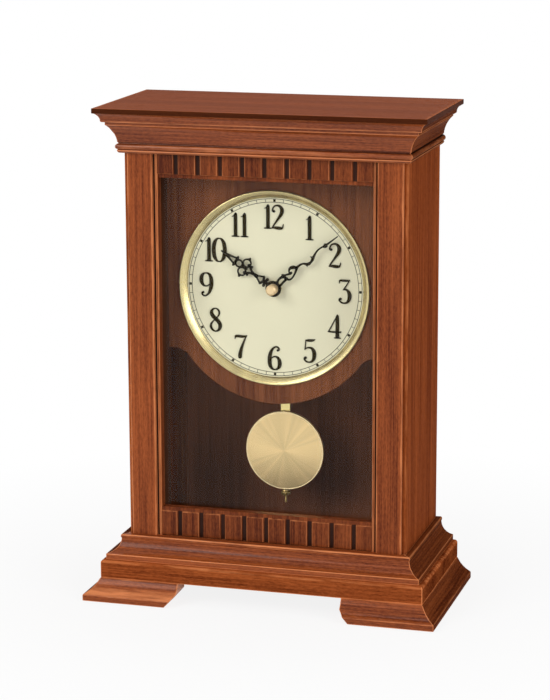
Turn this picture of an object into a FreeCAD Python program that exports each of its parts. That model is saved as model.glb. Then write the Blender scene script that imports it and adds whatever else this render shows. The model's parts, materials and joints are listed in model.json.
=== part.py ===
import FreeCAD, Part
import math
import os

from FreeCAD import Vector

# Desk pendulum clock in a stained wood case.
# Millimetres. X to the right, Y from the front to the back, Z up.
# The origin is on the floor, in the middle of the clock's footprint.

# Case
total_height = 381.0
case_width = 220.0
case_depth = 108.5
side_thickness = 9.0
side_edge_setback = 3.0
side_edge_round = 2.2
ceiling_thickness = 6.0

# Top board and crown moulding
top_thickness = 3.8
top_reach = 18.0
top_edge_round = 0.5
crown_height = 30.9
crown_sole_reach = 2.2
crown_sole_rise = 1.4
crown_band_reach = 3.3
crown_bead_radius = 2.3
crown_bead_centre_rise = 4.7
crown_cove_foot_reach = 3.0
crown_cove_foot_rise = 7.7
crown_cove_waist_reach = 5.4
crown_cove_waist_rise = 15.9
crown_cove_head_reach = 9.7
crown_cove_head_rise = 21.4
crown_fillet_reach = 10.1
crown_fillet_rise = 23.9
crown_nose_reach = 12.9
crown_nose_round = 0.7
crown_nose_rise = 25.6
crown_flare_waist_reach = 13.9
crown_flare_waist_rise = 28.2
crown_flare_reach = 17.0

# Base moulding, base board and feet
base_moulding_height = 18.2
ledge_reach = 5.0
ledge_height = 2.4
ledge_edge_round = 0.6
ledge_bevel = 0.5
base_cove_waist_reach = 7.4
base_cove_waist_drop = 10.4
base_cove_foot_reach = 13.7
base_cove_foot_drop = 13.8
base_step_reach = 14.1
base_board_height = 14.1
base_board_reach = 17.6
base_board_round = 2.2
foot_height = 16.3
foot_neck_reach = 18.3
foot_neck_drop = 0.8
foot_cove_waist_reach = 22.5
foot_cove_waist_drop = 6.8
foot_flare_reach = 28.8
foot_edge_height = 5.4
foot_edge_round = 0.7
foot_moulding_depth = 27.0
foot_return_length = 74.0
foot_return_rebate = 8.0
foot_return_square_height = 7.2

# Columns and front frame
stile_width = 17.5
top_frieze_height = 18.5
bottom_frieze_height = 22.4
frame_setback = 2.5
frame_thickness = 8.0
frame_edge_round = 0.9
column_width = 20.0
column_inset = 3.0
column_edge_round = 1.9
column_quirk_width = 1.4
column_quirk_depth = 1.2
rail_lip_height = 2.9
rail_lip_setback = 1.8
rail_groove_count = 9
rail_end_share = 0.65
rail_groove_width = 3.4
rail_groove_depth = 1.9
rail_groove_bevel = 0.5

# Glass and the strips behind it
glass_thickness = 2.0
glass_overlap = 7.5
strip_setback = 0.8
strip_depth = 15.5

# Dial board with its curved lower edge
dial_board_thickness = 6.0
dial_top_margin = 9.8
board_belly_margin = 9.5
board_belly_drop = 5.0
board_shoulder_drop = 50.2
board_reverse_radius = 14.0

# Dial plate and bezel
bezel_side_margin = 8.0
dial_plate_thickness = 0.8
dial_recess_clearance = 0.4
dial_recess_depth = 3.3
bezel_flange_width = 3.3
bezel_lip_width = 2.9
bezel_rim_height = 1.9
bezel_rim_width = 1.2
bezel_fit_clearance = 0.2

# Rear door, its hinges, stops and catch
door_setback = 5.65
door_thickness = 4.0
door_side_gap = 1.5
door_end_gap = 0.8
door_stop_gap = 0.6
door_stop_thickness = 4.0
door_stop_width = 8.0
hinge_inset = 69.6
hinge_length = 24.0
hinge_knuckle_radius = 2.0
hinge_knuckle_gap = 0.3
hinge_pin_radius = 0.9
hinge_pin_clearance = 0.05
hinge_leaf_thickness = 0.8
hinge_leaf_width = 13.0
hinge_case_leaf_width = 8.2
hinge_running_gap = 0.3
knob_edge_distance = 16.0
knob_radius = 6.0
knob_neck_radius = 3.0
knob_length = 4.8
knob_bevel = 1.2
catch_width = 9.0
catch_height = 28.0
catch_depth = 10.0
strike_thickness = 0.7
strike_gap = 0.3
speaker_drop = 53.2
speaker_radius = 28.5
speaker_flange_thickness = 2.0
speaker_basket_depth = 10.0
speaker_basket_radius = 22.0
speaker_magnet_radius = 14.0
speaker_magnet_depth = 7.0
sound_slot_count = 9
sound_slot_reach = 24.0
sound_slot_width_share = 0.48
sound_slot_margin_share = 0.6

# Movement housing
movement_width = 76.0
movement_top_rise = 50.0
movement_bottom_drop = 48.0
movement_depth = 22.0
movement_wall = 1.8
movement_corner_round = 4.0
movement_bay_width = 18.6
washer_thickness = 1.0
washer_radius = 9.0
bush_radius = 4.0
bush_bore_radius = 2.85
bush_hole_clearance = 0.2
bush_end_reach = 0.2
nut_thickness = 1.6
nut_across_flats = 10.0
cover_thickness = 2.0
cell_radius = 7.2
cell_length = 49.2
cell_tip_radius = 2.7
cell_tip_length = 1.3
cell_inset = 0.4
contact_thickness = 0.5
contact_width = 9.0
board_post_half = 2.0
circuit_board_thickness = 1.6
circuit_board_height = 22.0
circuit_board_inset = 9.0

# Motion work: twelve turns of the minute arbor to one of the hour wheel
wheel_thickness = 1.6
wheel_end_gap = 0.4
centre_distance = 12.5
cannon_teeth = 12
minute_wheel_teeth = 36
minute_pinion_teeth = 10
hour_wheel_teeth = 40
tooth_addendum_share = 0.75
tooth_dedendum_share = 1.15
tooth_root_width_share = 0.56
tooth_tip_width_share = 0.20
minute_arbor_radius = 1.5
minute_arbor_tail_radius = 1.0
arbor_clearance = 0.08
hour_tube_radius = 2.75
setting_arbor_radius = 1.25
setting_pivot_radius = 0.8
setting_pivot_length = 1.1
set_knob_radius = 6.5
set_knob_length = 4.6
set_knob_ribs = 18
set_knob_rib_height = 0.5
set_knob_gap = 0.5

# Hands and the cap on the arbor
hand_thickness = 0.6
hour_hand_margin = 19.5
hour_hand_gap = 0.6
hour_hub_radius = 5.4
minute_hand_margin = 3.3
minute_hand_gap = 0.9
minute_hub_radius = 6.2
minute_hand_angle = 49.8
hour_hand_angle = 303.4
cap_radius = 4.05
cap_length = 7.8
cap_bevel = 1.3
arbor_reach_in_cap = 1.0

# Chime selector and volume wheel on the rear cover
switch_offset = 8.4
switch_rise = 36.0
switch_travel = 3.0
switch_length = 4.0
switch_width = 3.0
switch_height = 3.2
switch_foot_margin = 1.0
switch_slot_clearance = 0.08
volume_offset = 9.0
volume_rise = 36.0
volume_radius = 4.6
volume_shaft_radius = 1.4
volume_length = 3.0

# Pendulum
pendulum_pivot_drop = 36.5
pivot_stud_radius = 1.3
pivot_stud_head_radius = 2.3
pivot_stud_head_length = 0.8
hanger_eye_radius = 4.0
hanger_thickness = 1.6
hanger_width = 6.0
hanger_length = 14.0
hanger_gap = 0.5
hanger_hook_radius = 1.4
hanger_hook_length = 1.6
rod_width = 9.0
rod_thickness = 0.8
rod_hook_clearance = 0.1
rod_foot_reach = 24.0
bob_radius = 31.5
bob_place_share = 0.454
bob_rim_thickness = 0.8
bob_dome_rise = 4.2
stud_radius = 1.25
stud_reach = 11.3
stud_overlap = 4.0
rating_nut_radius = 2.9
rating_nut_length = 5.4

overrun = 5.0

# Places worked out from the sizes above.
# A depth is measured back from the front face of the columns.
half_case = case_width / 2
footprint_depth = case_depth + foot_flare_reach
front_y = foot_flare_reach - footprint_depth / 2
back_y = footprint_depth / 2
case_inner = half_case - side_thickness
sight_half = case_inner - stile_width

board_floor = foot_height + base_board_height
ledge_top = board_floor + base_moulding_height
crown_top = total_height - top_thickness
crown_sole = crown_top - crown_height
ceiling_underside = crown_top - ceiling_thickness
opening_head = crown_sole - top_frieze_height
opening_sill = ledge_top + bottom_frieze_height

frame_front_y = front_y + frame_setback
frame_back_y = frame_front_y + frame_thickness
glass_back_y = frame_back_y + glass_thickness
board_front_y = glass_back_y + strip_depth
board_back_y = board_front_y + dial_board_thickness
dial_floor_y = board_front_y + dial_recess_depth
dial_face_y = dial_floor_y - dial_plate_thickness
bezel_outer_radius = sight_half - bezel_side_margin
dial_plate_radius = bezel_outer_radius - bezel_flange_width
bezel_inner_radius = dial_plate_radius - bezel_lip_width
dial_centre = opening_head - dial_top_margin - bezel_outer_radius
board_shoulder = dial_centre - board_shoulder_drop
board_belly_radius = bezel_outer_radius + board_belly_margin
belly_centre = dial_centre - board_belly_drop
minute_hand_length = bezel_inner_radius - minute_hand_margin
hour_hand_length = bezel_inner_radius - hour_hand_margin

door_back_y = back_y - door_setback
door_front_y = door_back_y - door_thickness
stop_back_y = door_front_y - door_stop_gap
stop_front_y = stop_back_y - door_stop_thickness
hinge_x = case_inner - hinge_leaf_thickness - hinge_running_gap - hinge_knuckle_radius
hinge_y = door_back_y + hinge_running_gap + hinge_knuckle_radius
hinge_middle_length = (hinge_length - 2 * hinge_knuckle_gap) / 3
hinge_heights = (board_floor + hinge_inset, ceiling_underside - hinge_inset)
knob_height = (board_floor + ceiling_underside) / 2
speaker_height = ceiling_underside - speaker_drop

movement_front_y = board_back_y + washer_thickness
movement_back_y = movement_front_y + movement_depth
cover_front_y = movement_back_y - cover_thickness
movement_inner_y = movement_front_y + movement_wall
movement_top = dial_centre + movement_top_rise
movement_bottom = dial_centre - movement_bottom_drop
nut_front_y = dial_face_y - nut_thickness
bush_front_y = nut_front_y - bush_end_reach

hour_wheel_front_y = movement_inner_y + wheel_end_gap
hour_wheel_back_y = hour_wheel_front_y + wheel_thickness
minute_wheel_front_y = hour_wheel_back_y + wheel_end_gap
minute_wheel_back_y = minute_wheel_front_y + wheel_thickness
setting_height = dial_centre - centre_distance

hour_hand_back_y = bush_front_y - hour_hand_gap
hour_hand_front_y = hour_hand_back_y - hand_thickness
minute_hand_back_y = hour_hand_front_y - minute_hand_gap
minute_hand_front_y = minute_hand_back_y - hand_thickness
cap_back_y = minute_hand_front_y
cap_front_y = cap_back_y - cap_length
arbor_front_y = cap_back_y - arbor_reach_in_cap

pendulum_pivot_height = dial_centre - pendulum_pivot_drop
bob_height = opening_sill + bob_place_share * (belly_centre - board_belly_radius - opening_sill)
hanger_front_y = movement_back_y + hanger_gap
hanger_back_y = hanger_front_y + hanger_thickness
rod_front_y = hanger_back_y
rod_back_y = rod_front_y + rod_thickness
rod_middle_y = (rod_front_y + rod_back_y) / 2
hook_height = pendulum_pivot_height - hanger_length


def box(x0, x1, y0, y1, z0, z1):
    """A block between two corners."""
    return Part.makeBox(x1 - x0, y1 - y0, z1 - z0, Vector(x0, y0, z0))


def rod_y(radius, x, z, y0, y1):
    """A cylinder that runs from front to back."""
    return Part.makeCylinder(radius, y1 - y0, Vector(x, y0, z), Vector(0, 1, 0))


def rod_z(radius, x, y, z0, z1):
    """An upright cylinder."""
    return Part.makeCylinder(radius, z1 - z0, Vector(x, y, z0), Vector(0, 0, 1))


def mirrored(shape):
    """The same piece on the other side of the clock."""
    return shape.mirror(Vector(0, 0, 0), Vector(1, 0, 0))


def outline(steps, place):
    """A closed face from steps: a point, or an arc given as its middle and its end."""
    here = place(*steps[0])
    first = here
    edges = []
    for step in steps[1:]:
        if len(step) == 4:
            there = place(step[2], step[3])
            edges.append(Part.Arc(here, place(step[0], step[1]), there).toShape())
        else:
            there = place(*step)
            edges.append(Part.makeLine(here, there))
        here = there
    edges.append(Part.makeLine(here, first))
    return Part.Face(Part.Wire(edges))


def prism_z(points, z0, z1):
    """A prism that stands on a plan outline."""
    corners = [Vector(x, y, z0) for x, y in points]
    face = Part.Face(Part.makePolygon(corners + corners[:1]))
    return face.extrude(Vector(0, 0, z1 - z0))


def rounded(shape, radius, wanted):
    """Rounds the edges that the test picks."""
    edges = [edge for edge in shape.Edges if wanted(edge.BoundBox)]
    return shape.makeFillet(radius, edges)


def upright(bounds):
    return bounds.ZLength > bounds.XLength + bounds.YLength


def front_run(steps, z0, reach):
    """A moulding along the front, cut to a mitre at both ends."""
    face = outline(steps, lambda p, rise: Vector(-half_case - reach, front_y - p, z0 + rise))
    run = face.extrude(Vector(case_width + 2 * reach, 0, 0))
    rise = max(step[-1] for step in steps)
    plan = [(-half_case - reach, front_y - reach), (half_case + reach, front_y - reach),
            (half_case, front_y), (half_case, frame_front_y),
            (-half_case, frame_front_y), (-half_case, front_y)]
    return run.common(prism_z(plan, z0 - overrun, z0 + rise + overrun))


def side_run(steps, z0, reach):
    """A moulding along the right side, mitred at the front and square at the back."""
    face = outline(steps, lambda p, rise: Vector(half_case + max(p, 0), front_y - reach, z0 + rise))
    run = face.extrude(Vector(0, back_y - front_y + reach, 0))
    rise = max(step[-1] for step in steps)
    plan = [(half_case, front_y), (half_case + reach, front_y - reach),
            (half_case + reach, back_y), (half_case, back_y)]
    return run.common(prism_z(plan, z0 - overrun, z0 + rise + overrun))


def crown_steps(inner):
    """Crown section from the sole up: band, bead, large cove, fillet, nose, small cove."""
    bead_low = crown_bead_centre_rise - crown_bead_radius
    bead_high = crown_bead_centre_rise + crown_bead_radius
    bead_back = crown_band_reach - crown_bead_radius / 2
    bead_front = bead_back + crown_bead_radius
    nose_low = crown_nose_rise - crown_nose_round
    return [
        (inner, 0), (crown_sole_reach, 0),
        (crown_band_reach, crown_sole_rise), (crown_band_reach, bead_low),
        (bead_front, crown_bead_centre_rise, crown_cove_foot_reach, bead_high),
        (crown_cove_foot_reach, crown_cove_foot_rise),
        (crown_cove_waist_reach, crown_cove_waist_rise, crown_cove_head_reach, crown_cove_head_rise),
        (crown_fillet_reach, crown_cove_head_rise), (crown_fillet_reach, crown_fillet_rise),
        (crown_nose_reach - crown_nose_round, crown_fillet_rise),
        (crown_nose_reach, nose_low, crown_nose_reach, crown_nose_rise),
        (crown_flare_waist_reach, crown_flare_waist_rise, crown_flare_reach, crown_height),
        (inner, crown_height),
    ]


def base_steps(inner):
    """Base moulding section from the base board up: step, cove, bevel, ledge."""
    cove_foot = base_moulding_height - base_cove_foot_drop
    cove_waist = base_moulding_height - base_cove_waist_drop
    ledge_low = base_moulding_height - ledge_height
    cove_head = ledge_low - ledge_bevel
    ledge_high = base_moulding_height - ledge_edge_round
    return [
        (inner, 0), (base_step_reach, 0), (base_step_reach, cove_foot),
        (base_cove_foot_reach, cove_foot),
        (base_cove_waist_reach, cove_waist, ledge_reach - ledge_bevel, cove_head),
        (ledge_reach, ledge_low), (ledge_reach, ledge_high),
        (ledge_reach - ledge_edge_round, base_moulding_height), (inner, base_moulding_height),
    ]


def foot_steps(inner):
    """Foot section from the floor up: square edge, hollow flare, neck."""
    return [
        (inner, 0), (foot_flare_reach, 0), (foot_flare_reach, foot_edge_height - foot_edge_round),
        (foot_flare_reach - foot_edge_round, foot_edge_height),
        (foot_cove_waist_reach, foot_height - foot_cove_waist_drop,
         foot_neck_reach, foot_height - foot_neck_drop),
        (foot_neck_reach - foot_neck_drop, foot_height), (inner, foot_height),
    ]


def top_board():
    slab = box(-half_case - top_reach, half_case + top_reach, front_y - top_reach, back_y,
               crown_top, total_height)
    return rounded(slab, top_edge_round, lambda b: b.YMax < back_y)


def crown_front():
    return front_run(crown_steps(-frame_setback), crown_sole, top_reach)


def crown_right():
    return side_run(crown_steps(0), crown_sole, top_reach)


def side_panel_right():
    panel = box(case_inner, half_case, front_y + side_edge_setback, back_y, board_floor, crown_top)
    middle_x = (case_inner + half_case) / 2
    return rounded(panel, side_edge_round, lambda b: upright(b) and b.YMax < 0 and b.XMin > middle_x)


def case_ceiling():
    return box(-case_inner, case_inner, frame_back_y, back_y, ceiling_underside, crown_top)


def stile_right():
    """A front stile with a rounded inner edge and a quirk beside the column."""
    stile = box(sight_half, case_inner, frame_front_y, frame_back_y, board_floor, crown_top)
    stile = rounded(stile, frame_edge_round,
                    lambda b: upright(b) and b.XMax < sight_half + frame_edge_round
                    and b.YMax < frame_back_y - frame_edge_round)
    column_edge = half_case - column_inset - column_width
    quirk = box(column_edge - column_quirk_width, column_edge, frame_front_y - overrun,
                frame_front_y + column_quirk_depth, ledge_top, crown_sole)
    return stile.cut(quirk)


def column_right():
    """The flat column board with rounded long edges."""
    outer = half_case - column_inset
    board = box(outer - column_width, outer, front_y, frame_front_y, ledge_top, crown_sole)
    middle_y = (front_y + frame_front_y) / 2
    return rounded(board, column_edge_round, lambda b: upright(b) and b.YMax < middle_y)


def grooved_rail(z0, z1, face_low, face_high):
    """A rail with a raised face, cut by upright grooves into bevelled blocks, beside a sunk lip."""
    rail = box(-sight_half, sight_half, frame_front_y + rail_lip_setback, frame_back_y, z0, z1)
    raised = box(-sight_half, sight_half, frame_front_y, frame_back_y, face_low, face_high)
    rail = rail.fuse(raised)
    half = rail_groove_width / 2
    mouth = half + rail_groove_bevel
    section = [(-mouth, -overrun), (-mouth, 0), (-half, rail_groove_bevel), (-half, rail_groove_depth),
               (half, rail_groove_depth), (half, rail_groove_bevel), (mouth, 0), (mouth, -overrun)]
    pitch = 2 * sight_half / (rail_groove_count + rail_end_share)
    for index in range(rail_groove_count):
        middle = (index - (rail_groove_count - 1) / 2) * pitch
        groove = [(middle + x, frame_front_y + depth) for x, depth in section]
        rail = rail.cut(prism_z(groove, face_low, face_high))
    return rail.removeSplitter()


def rail_top():
    return grooved_rail(opening_head, crown_top,
                        opening_head + rail_lip_height, crown_sole)


def rail_bottom():
    return grooved_rail(board_floor, opening_sill,
                        ledge_top, opening_sill - rail_lip_height)


def base_moulding_front():
    return front_run(base_steps(-frame_setback), board_floor, base_board_reach)


def base_moulding_right():
    return side_run(base_steps(0), board_floor, base_board_reach)


def base_board():
    board = box(-half_case - base_board_reach, half_case + base_board_reach,
                front_y - base_board_reach, back_y, foot_height, board_floor)
    return rounded(board, base_board_round,
                   lambda b: b.ZMin > board_floor - base_board_round and b.YMin < back_y - overrun)


def foot_side_right():
    """The foot moulding along the right side, from the mitre to the back."""
    inner = foot_flare_reach - foot_moulding_depth
    return side_run(foot_steps(inner), 0, foot_flare_reach)


def foot_front_right():
    """The mitred return of the right foot, with an undercut inner end."""
    inner = foot_flare_reach - foot_moulding_depth
    run = front_run(foot_steps(inner), 0, foot_flare_reach)
    outer_x = half_case + foot_flare_reach
    end_x = outer_x - foot_return_length
    low_x = end_x + foot_return_rebate
    square_z = foot_height - foot_return_square_height
    low, high = front_y - foot_flare_reach - overrun, front_y + overrun
    corners = [(low_x, 0), (end_x, square_z), (end_x, foot_height), (outer_x, foot_height), (outer_x, 0)]
    points = [Vector(x, low, z) for x, z in corners]
    keep = Part.Face(Part.makePolygon(points + points[:1])).extrude(Vector(0, high - low, 0))
    return run.common(keep)


def front_glass():
    return box(-sight_half - glass_overlap, sight_half + glass_overlap, frame_back_y, glass_back_y,
               opening_sill - glass_overlap, opening_head + glass_overlap)


def glass_strip_right():
    return box(sight_half + strip_setback, case_inner, glass_back_y, board_front_y,
               board_floor, ceiling_underside)


def dial_board():
    """The board that carries the dial: its lower edge swells round it in a belly with two shoulders."""
    reverse_z = board_shoulder - board_reverse_radius
    span = board_belly_radius + board_reverse_radius
    reverse_x = math.sqrt(span ** 2 - (belly_centre - reverse_z) ** 2)
    share = board_belly_radius / span
    join_x = reverse_x * share
    join_z = belly_centre - (belly_centre - reverse_z) * share
    mid = math.atan2(board_shoulder - reverse_z + join_z - reverse_z, join_x - reverse_x)
    mid_x = reverse_x + board_reverse_radius * math.cos(mid)
    mid_z = reverse_z + board_reverse_radius * math.sin(mid)
    steps = [
        (-case_inner, ceiling_underside), (-case_inner, board_shoulder),
        (-reverse_x, board_shoulder), (-mid_x, mid_z, -join_x, join_z),
        (0, belly_centre - board_belly_radius, join_x, join_z), (mid_x, mid_z, reverse_x, board_shoulder),
        (case_inner, board_shoulder), (case_inner, ceiling_underside),
    ]
    face = outline(steps, lambda x, z: Vector(x, board_front_y, z))
    board = face.extrude(Vector(0, dial_board_thickness, 0))
    recess = rod_y(dial_plate_radius + dial_recess_clearance, 0, dial_centre,
                   board_front_y - overrun, dial_floor_y)
    hole = rod_y(bush_radius + bush_hole_clearance, 0, dial_centre,
                 board_front_y - overrun, board_back_y + overrun)
    return board.cut(recess).cut(hole)


def dial_plate():
    plate = rod_y(dial_plate_radius, 0, dial_centre, dial_face_y, dial_floor_y)
    hole = rod_y(bush_radius + bush_hole_clearance, 0, dial_centre,
                 dial_face_y - overrun, dial_floor_y + overrun)
    return plate.cut(hole)


def dial_bezel():
    """A pressed ring: a flange on the board, a ridge, and a slope down to its lip."""
    seat = dial_plate_radius + dial_recess_clearance - bezel_fit_clearance
    floor = dial_face_y - board_front_y
    ridge = bezel_outer_radius - bezel_rim_width
    slope_depth = floor - dial_plate_thickness / 4
    steps = [
        (bezel_outer_radius, 0), (bezel_outer_radius, bezel_rim_width - bezel_rim_height),
        (ridge, -bezel_rim_height), (bezel_inner_radius, slope_depth),
        (bezel_inner_radius, floor), (seat, floor), (seat, 0),
    ]
    face = outline(steps, lambda r, depth: Vector(r, board_front_y + depth, dial_centre))
    return face.revolve(Vector(0, 0, dial_centre), Vector(0, 1, 0), 360)


def sound_slots():
    """Upright slots in the door behind the speaker, within a circle."""
    slots = []
    pitch = 2 * sound_slot_reach / (sound_slot_count + sound_slot_margin_share)
    half = pitch * sound_slot_width_share / 2
    for index in range(sound_slot_count):
        x = (index - (sound_slot_count - 1) / 2) * pitch
        rise = math.sqrt(sound_slot_reach ** 2 - x ** 2)
        slots.append(box(x - half, x + half, door_front_y - overrun, door_back_y + overrun,
                         speaker_height - rise, speaker_height + rise))
    return Part.makeCompound(slots)


def rear_door():
    reach = case_inner - door_side_gap
    door = box(-reach, reach, door_front_y, door_back_y,
               board_floor + door_end_gap, ceiling_underside - door_end_gap)
    return door.cut(sound_slots())


def door_stop_right():
    return box(case_inner - door_stop_width, case_inner, stop_front_y, stop_back_y,
               board_floor, ceiling_underside)


def pin_hole(radius, z0, z1):
    return rod_z(radius, hinge_x, hinge_y, z0 - overrun, z1 + overrun)


def case_hinge_leaves():
    """The leaf on the side panel, with the outer two knuckles, for each hinge."""
    leaves = []
    for middle in hinge_heights:
        low, high = middle - hinge_length / 2, middle + hinge_length / 2
        leaf = box(case_inner - hinge_leaf_thickness, case_inner,
                   stop_back_y + hinge_running_gap, stop_back_y + hinge_running_gap + hinge_case_leaf_width,
                   low, high)
        for z0, z1 in ((low, low + hinge_middle_length), (high - hinge_middle_length, high)):
            knuckle = rod_z(hinge_knuckle_radius, hinge_x, hinge_y, z0, z1)
            web = box(hinge_x, case_inner, hinge_y + hinge_knuckle_radius - hinge_leaf_thickness,
                      hinge_y + hinge_knuckle_radius, z0, z1)
            leaf = leaf.fuse(knuckle).fuse(web)
        leaves.append(leaf.cut(pin_hole(hinge_pin_radius, low, high)).removeSplitter())
    return Part.makeCompound(leaves)


def door_hinge_leaves():
    """The leaf on the door, with the middle knuckle, for each hinge."""
    leaves = []
    for middle in hinge_heights:
        low, high = middle - hinge_length / 2, middle + hinge_length / 2
        z0, z1 = middle - hinge_middle_length / 2, middle + hinge_middle_length / 2
        leaf_edge = hinge_x - hinge_knuckle_radius - hinge_running_gap
        leaf = box(leaf_edge - hinge_leaf_width, leaf_edge, door_back_y,
                   door_back_y + hinge_leaf_thickness, low, high)
        tongue = box(leaf_edge - hinge_leaf_thickness, hinge_x, door_back_y,
                     door_back_y + hinge_leaf_thickness, z0, z1)
        knuckle = rod_z(hinge_knuckle_radius, hinge_x, hinge_y, z0, z1)
        leaf = leaf.fuse(tongue).fuse(knuckle)
        leaf = leaf.cut(pin_hole(hinge_pin_radius + hinge_pin_clearance, low, high))
        leaves.append(leaf.removeSplitter())
    return Part.makeCompound(leaves)


def hinge_pins():
    pins = [rod_z(hinge_pin_radius, hinge_x, hinge_y, middle - hinge_length / 2, middle + hinge_length / 2)
            for middle in hinge_heights]
    return Part.makeCompound(pins)


def door_knob():
    """A turned pull: a slim neck and a bevelled head."""
    x = -case_inner + knob_edge_distance
    head = knob_length / 2
    steps = [
        (0, 0), (knob_neck_radius, 0), (knob_neck_radius, head), (knob_radius, head),
        (knob_radius, knob_length - knob_bevel), (knob_radius - knob_bevel, knob_length),
        (0, knob_length),
    ]
    face = outline(steps, lambda r, depth: Vector(x + r, door_back_y + depth, knob_height))
    return face.revolve(Vector(x, 0, knob_height), Vector(0, 1, 0), 360)


def magnet_catch():
    edge = -case_inner + door_stop_width
    back = door_front_y - strike_thickness - strike_gap
    return box(edge, edge + catch_width, back - catch_depth, back,
               knob_height - catch_height / 2, knob_height + catch_height / 2)


def strike_plate():
    edge = -case_inner + door_stop_width + strike_gap
    return box(edge, edge + catch_width, door_front_y - strike_thickness, door_front_y,
               knob_height - catch_height / 2, knob_height + catch_height / 2)


def speaker():
    """A round loudspeaker on the inner face of the door: flange, basket and magnet."""
    flange = door_front_y - speaker_flange_thickness
    neck = flange - speaker_basket_depth
    steps = [
        (0, door_front_y), (speaker_radius, door_front_y), (speaker_radius, flange),
        (speaker_basket_radius, flange), (speaker_basket_radius, neck), (speaker_magnet_radius, neck),
        (speaker_magnet_radius, neck - speaker_magnet_depth), (0, neck - speaker_magnet_depth),
    ]
    face = outline(steps, lambda r, y: Vector(r, y, speaker_height))
    return face.revolve(Vector(0, 0, speaker_height), Vector(0, 1, 0), 360)


def movement_housing():
    """A moulded box, open at the back, with a cell bay each side and a threaded bush in front."""
    half = movement_width / 2
    shell = box(-half, half, movement_front_y, movement_back_y, movement_bottom, movement_top)
    shell = rounded(shell, movement_corner_round,
                    lambda b: b.YLength > b.XLength + b.ZLength)
    bay_edge = half - movement_wall
    for x0, x1 in ((-bay_edge, -bay_edge + movement_bay_width),
                   (movement_wall + movement_bay_width - bay_edge,
                    bay_edge - movement_bay_width - movement_wall),
                   (bay_edge - movement_bay_width, bay_edge)):
        pocket = box(x0, x1, movement_inner_y, movement_back_y + overrun,
                     movement_bottom + movement_wall, movement_top - movement_wall)
        shell = shell.cut(pocket)
    bush = rod_y(bush_radius, 0, dial_centre, bush_front_y, movement_inner_y)
    shell = shell.fuse(bush)
    shell = shell.cut(rod_y(bush_bore_radius, 0, dial_centre,
                            bush_front_y - overrun, movement_inner_y + overrun))
    pivot = rod_y(setting_pivot_radius + arbor_clearance, 0, setting_height,
                  movement_inner_y - setting_pivot_length - arbor_clearance, movement_inner_y + overrun)
    shell = shell.cut(pivot)
    for x, z in circuit_posts():
        shell = shell.fuse(box(x - board_post_half, x + board_post_half, movement_inner_y - arbor_clearance,
                               circuit_front_y(), z - board_post_half, z + board_post_half))
    return shell.removeSplitter()


def central_half():
    return movement_width / 2 - 2 * movement_wall - movement_bay_width


def circuit_front_y():
    return cover_front_y - circuit_board_inset


def circuit_posts():
    x = central_half() - 2 * board_post_half
    z = movement_top - movement_wall - circuit_board_height / 2
    return [(-x, z), (x, z)]


def circuit_board():
    half = central_half()
    top = movement_top - movement_wall
    return box(-half, half, circuit_front_y(), circuit_front_y() + circuit_board_thickness,
               top - circuit_board_height, top)


def movement_cover():
    """The rear cover over the works, with the holes and slot for what comes through it."""
    half = central_half()
    low = movement_bottom + movement_wall
    high = movement_top - movement_wall
    cover = box(-half, half, cover_front_y, movement_back_y, low, high)
    for radius, x, z in (
            (minute_arbor_tail_radius + arbor_clearance, 0, dial_centre),
            (setting_arbor_radius + arbor_clearance, 0, setting_height),
            (volume_shaft_radius + arbor_clearance, volume_offset, dial_centre + volume_rise),
            (pivot_stud_radius, 0, pendulum_pivot_height)):
        cover = cover.cut(rod_y(radius, x, z, cover_front_y - overrun, movement_back_y + overrun))
    reach = switch_length / 2 + switch_travel + switch_slot_clearance
    half_slot = switch_width / 2 + switch_slot_clearance
    middle = dial_centre + switch_rise
    slot = box(-switch_offset - reach, -switch_offset + reach, cover_front_y - overrun,
               movement_back_y + overrun, middle - half_slot, middle + half_slot)
    return cover.cut(slot)


def cell_places():
    x = movement_width / 2 - movement_wall - movement_bay_width / 2
    y = movement_back_y - cell_radius - cell_inset
    return [(-x, y, 1), (x, y, -1)]


def batteries():
    """Two cells, standing head to tail in their bays."""
    cells = []
    for x, y, way in cell_places():
        low = dial_centre - way * cell_length / 2
        body = Part.makeCylinder(cell_radius, cell_length, Vector(x, y, low), Vector(0, 0, way))
        tip = Part.makeCylinder(cell_tip_radius, cell_tip_length, Vector(x, y, low + way * cell_length),
                                Vector(0, 0, way))
        cells.append(body.fuse(tip))
    return Part.makeCompound(cells)


def battery_contacts():
    """A sprung plate at each end of each bay, on a moulded rib of the housing's floor."""
    plates = []
    for x, y, way in cell_places():
        tip_end = dial_centre + way * (cell_length / 2 + cell_tip_length)
        tail_end = dial_centre - way * cell_length / 2
        for end, side in ((tip_end, way), (tail_end, -way)):
            z0, z1 = sorted((end, end + side * contact_thickness))
            plates.append(box(x - contact_width / 2, x + contact_width / 2, movement_inner_y,
                              y + cell_tip_radius, z0, z1))
    return Part.makeCompound(plates)


def mounting_washer():
    ring = rod_y(washer_radius, 0, dial_centre, board_back_y, movement_front_y)
    return ring.cut(rod_y(bush_radius, 0, dial_centre,
                          board_back_y - overrun, movement_front_y + overrun))


def mounting_nut():
    corner = nut_across_flats / 2 / math.cos(math.pi / 6)
    points = [Vector(corner * math.cos(math.pi * index / 3), nut_front_y,
                     dial_centre + corner * math.sin(math.pi * index / 3)) for index in range(6)]
    nut = Part.Face(Part.makePolygon(points + points[:1])).extrude(Vector(0, nut_thickness, 0))
    return nut.cut(rod_y(bush_radius, 0, dial_centre, nut_front_y - overrun, dial_face_y + overrun))


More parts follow.
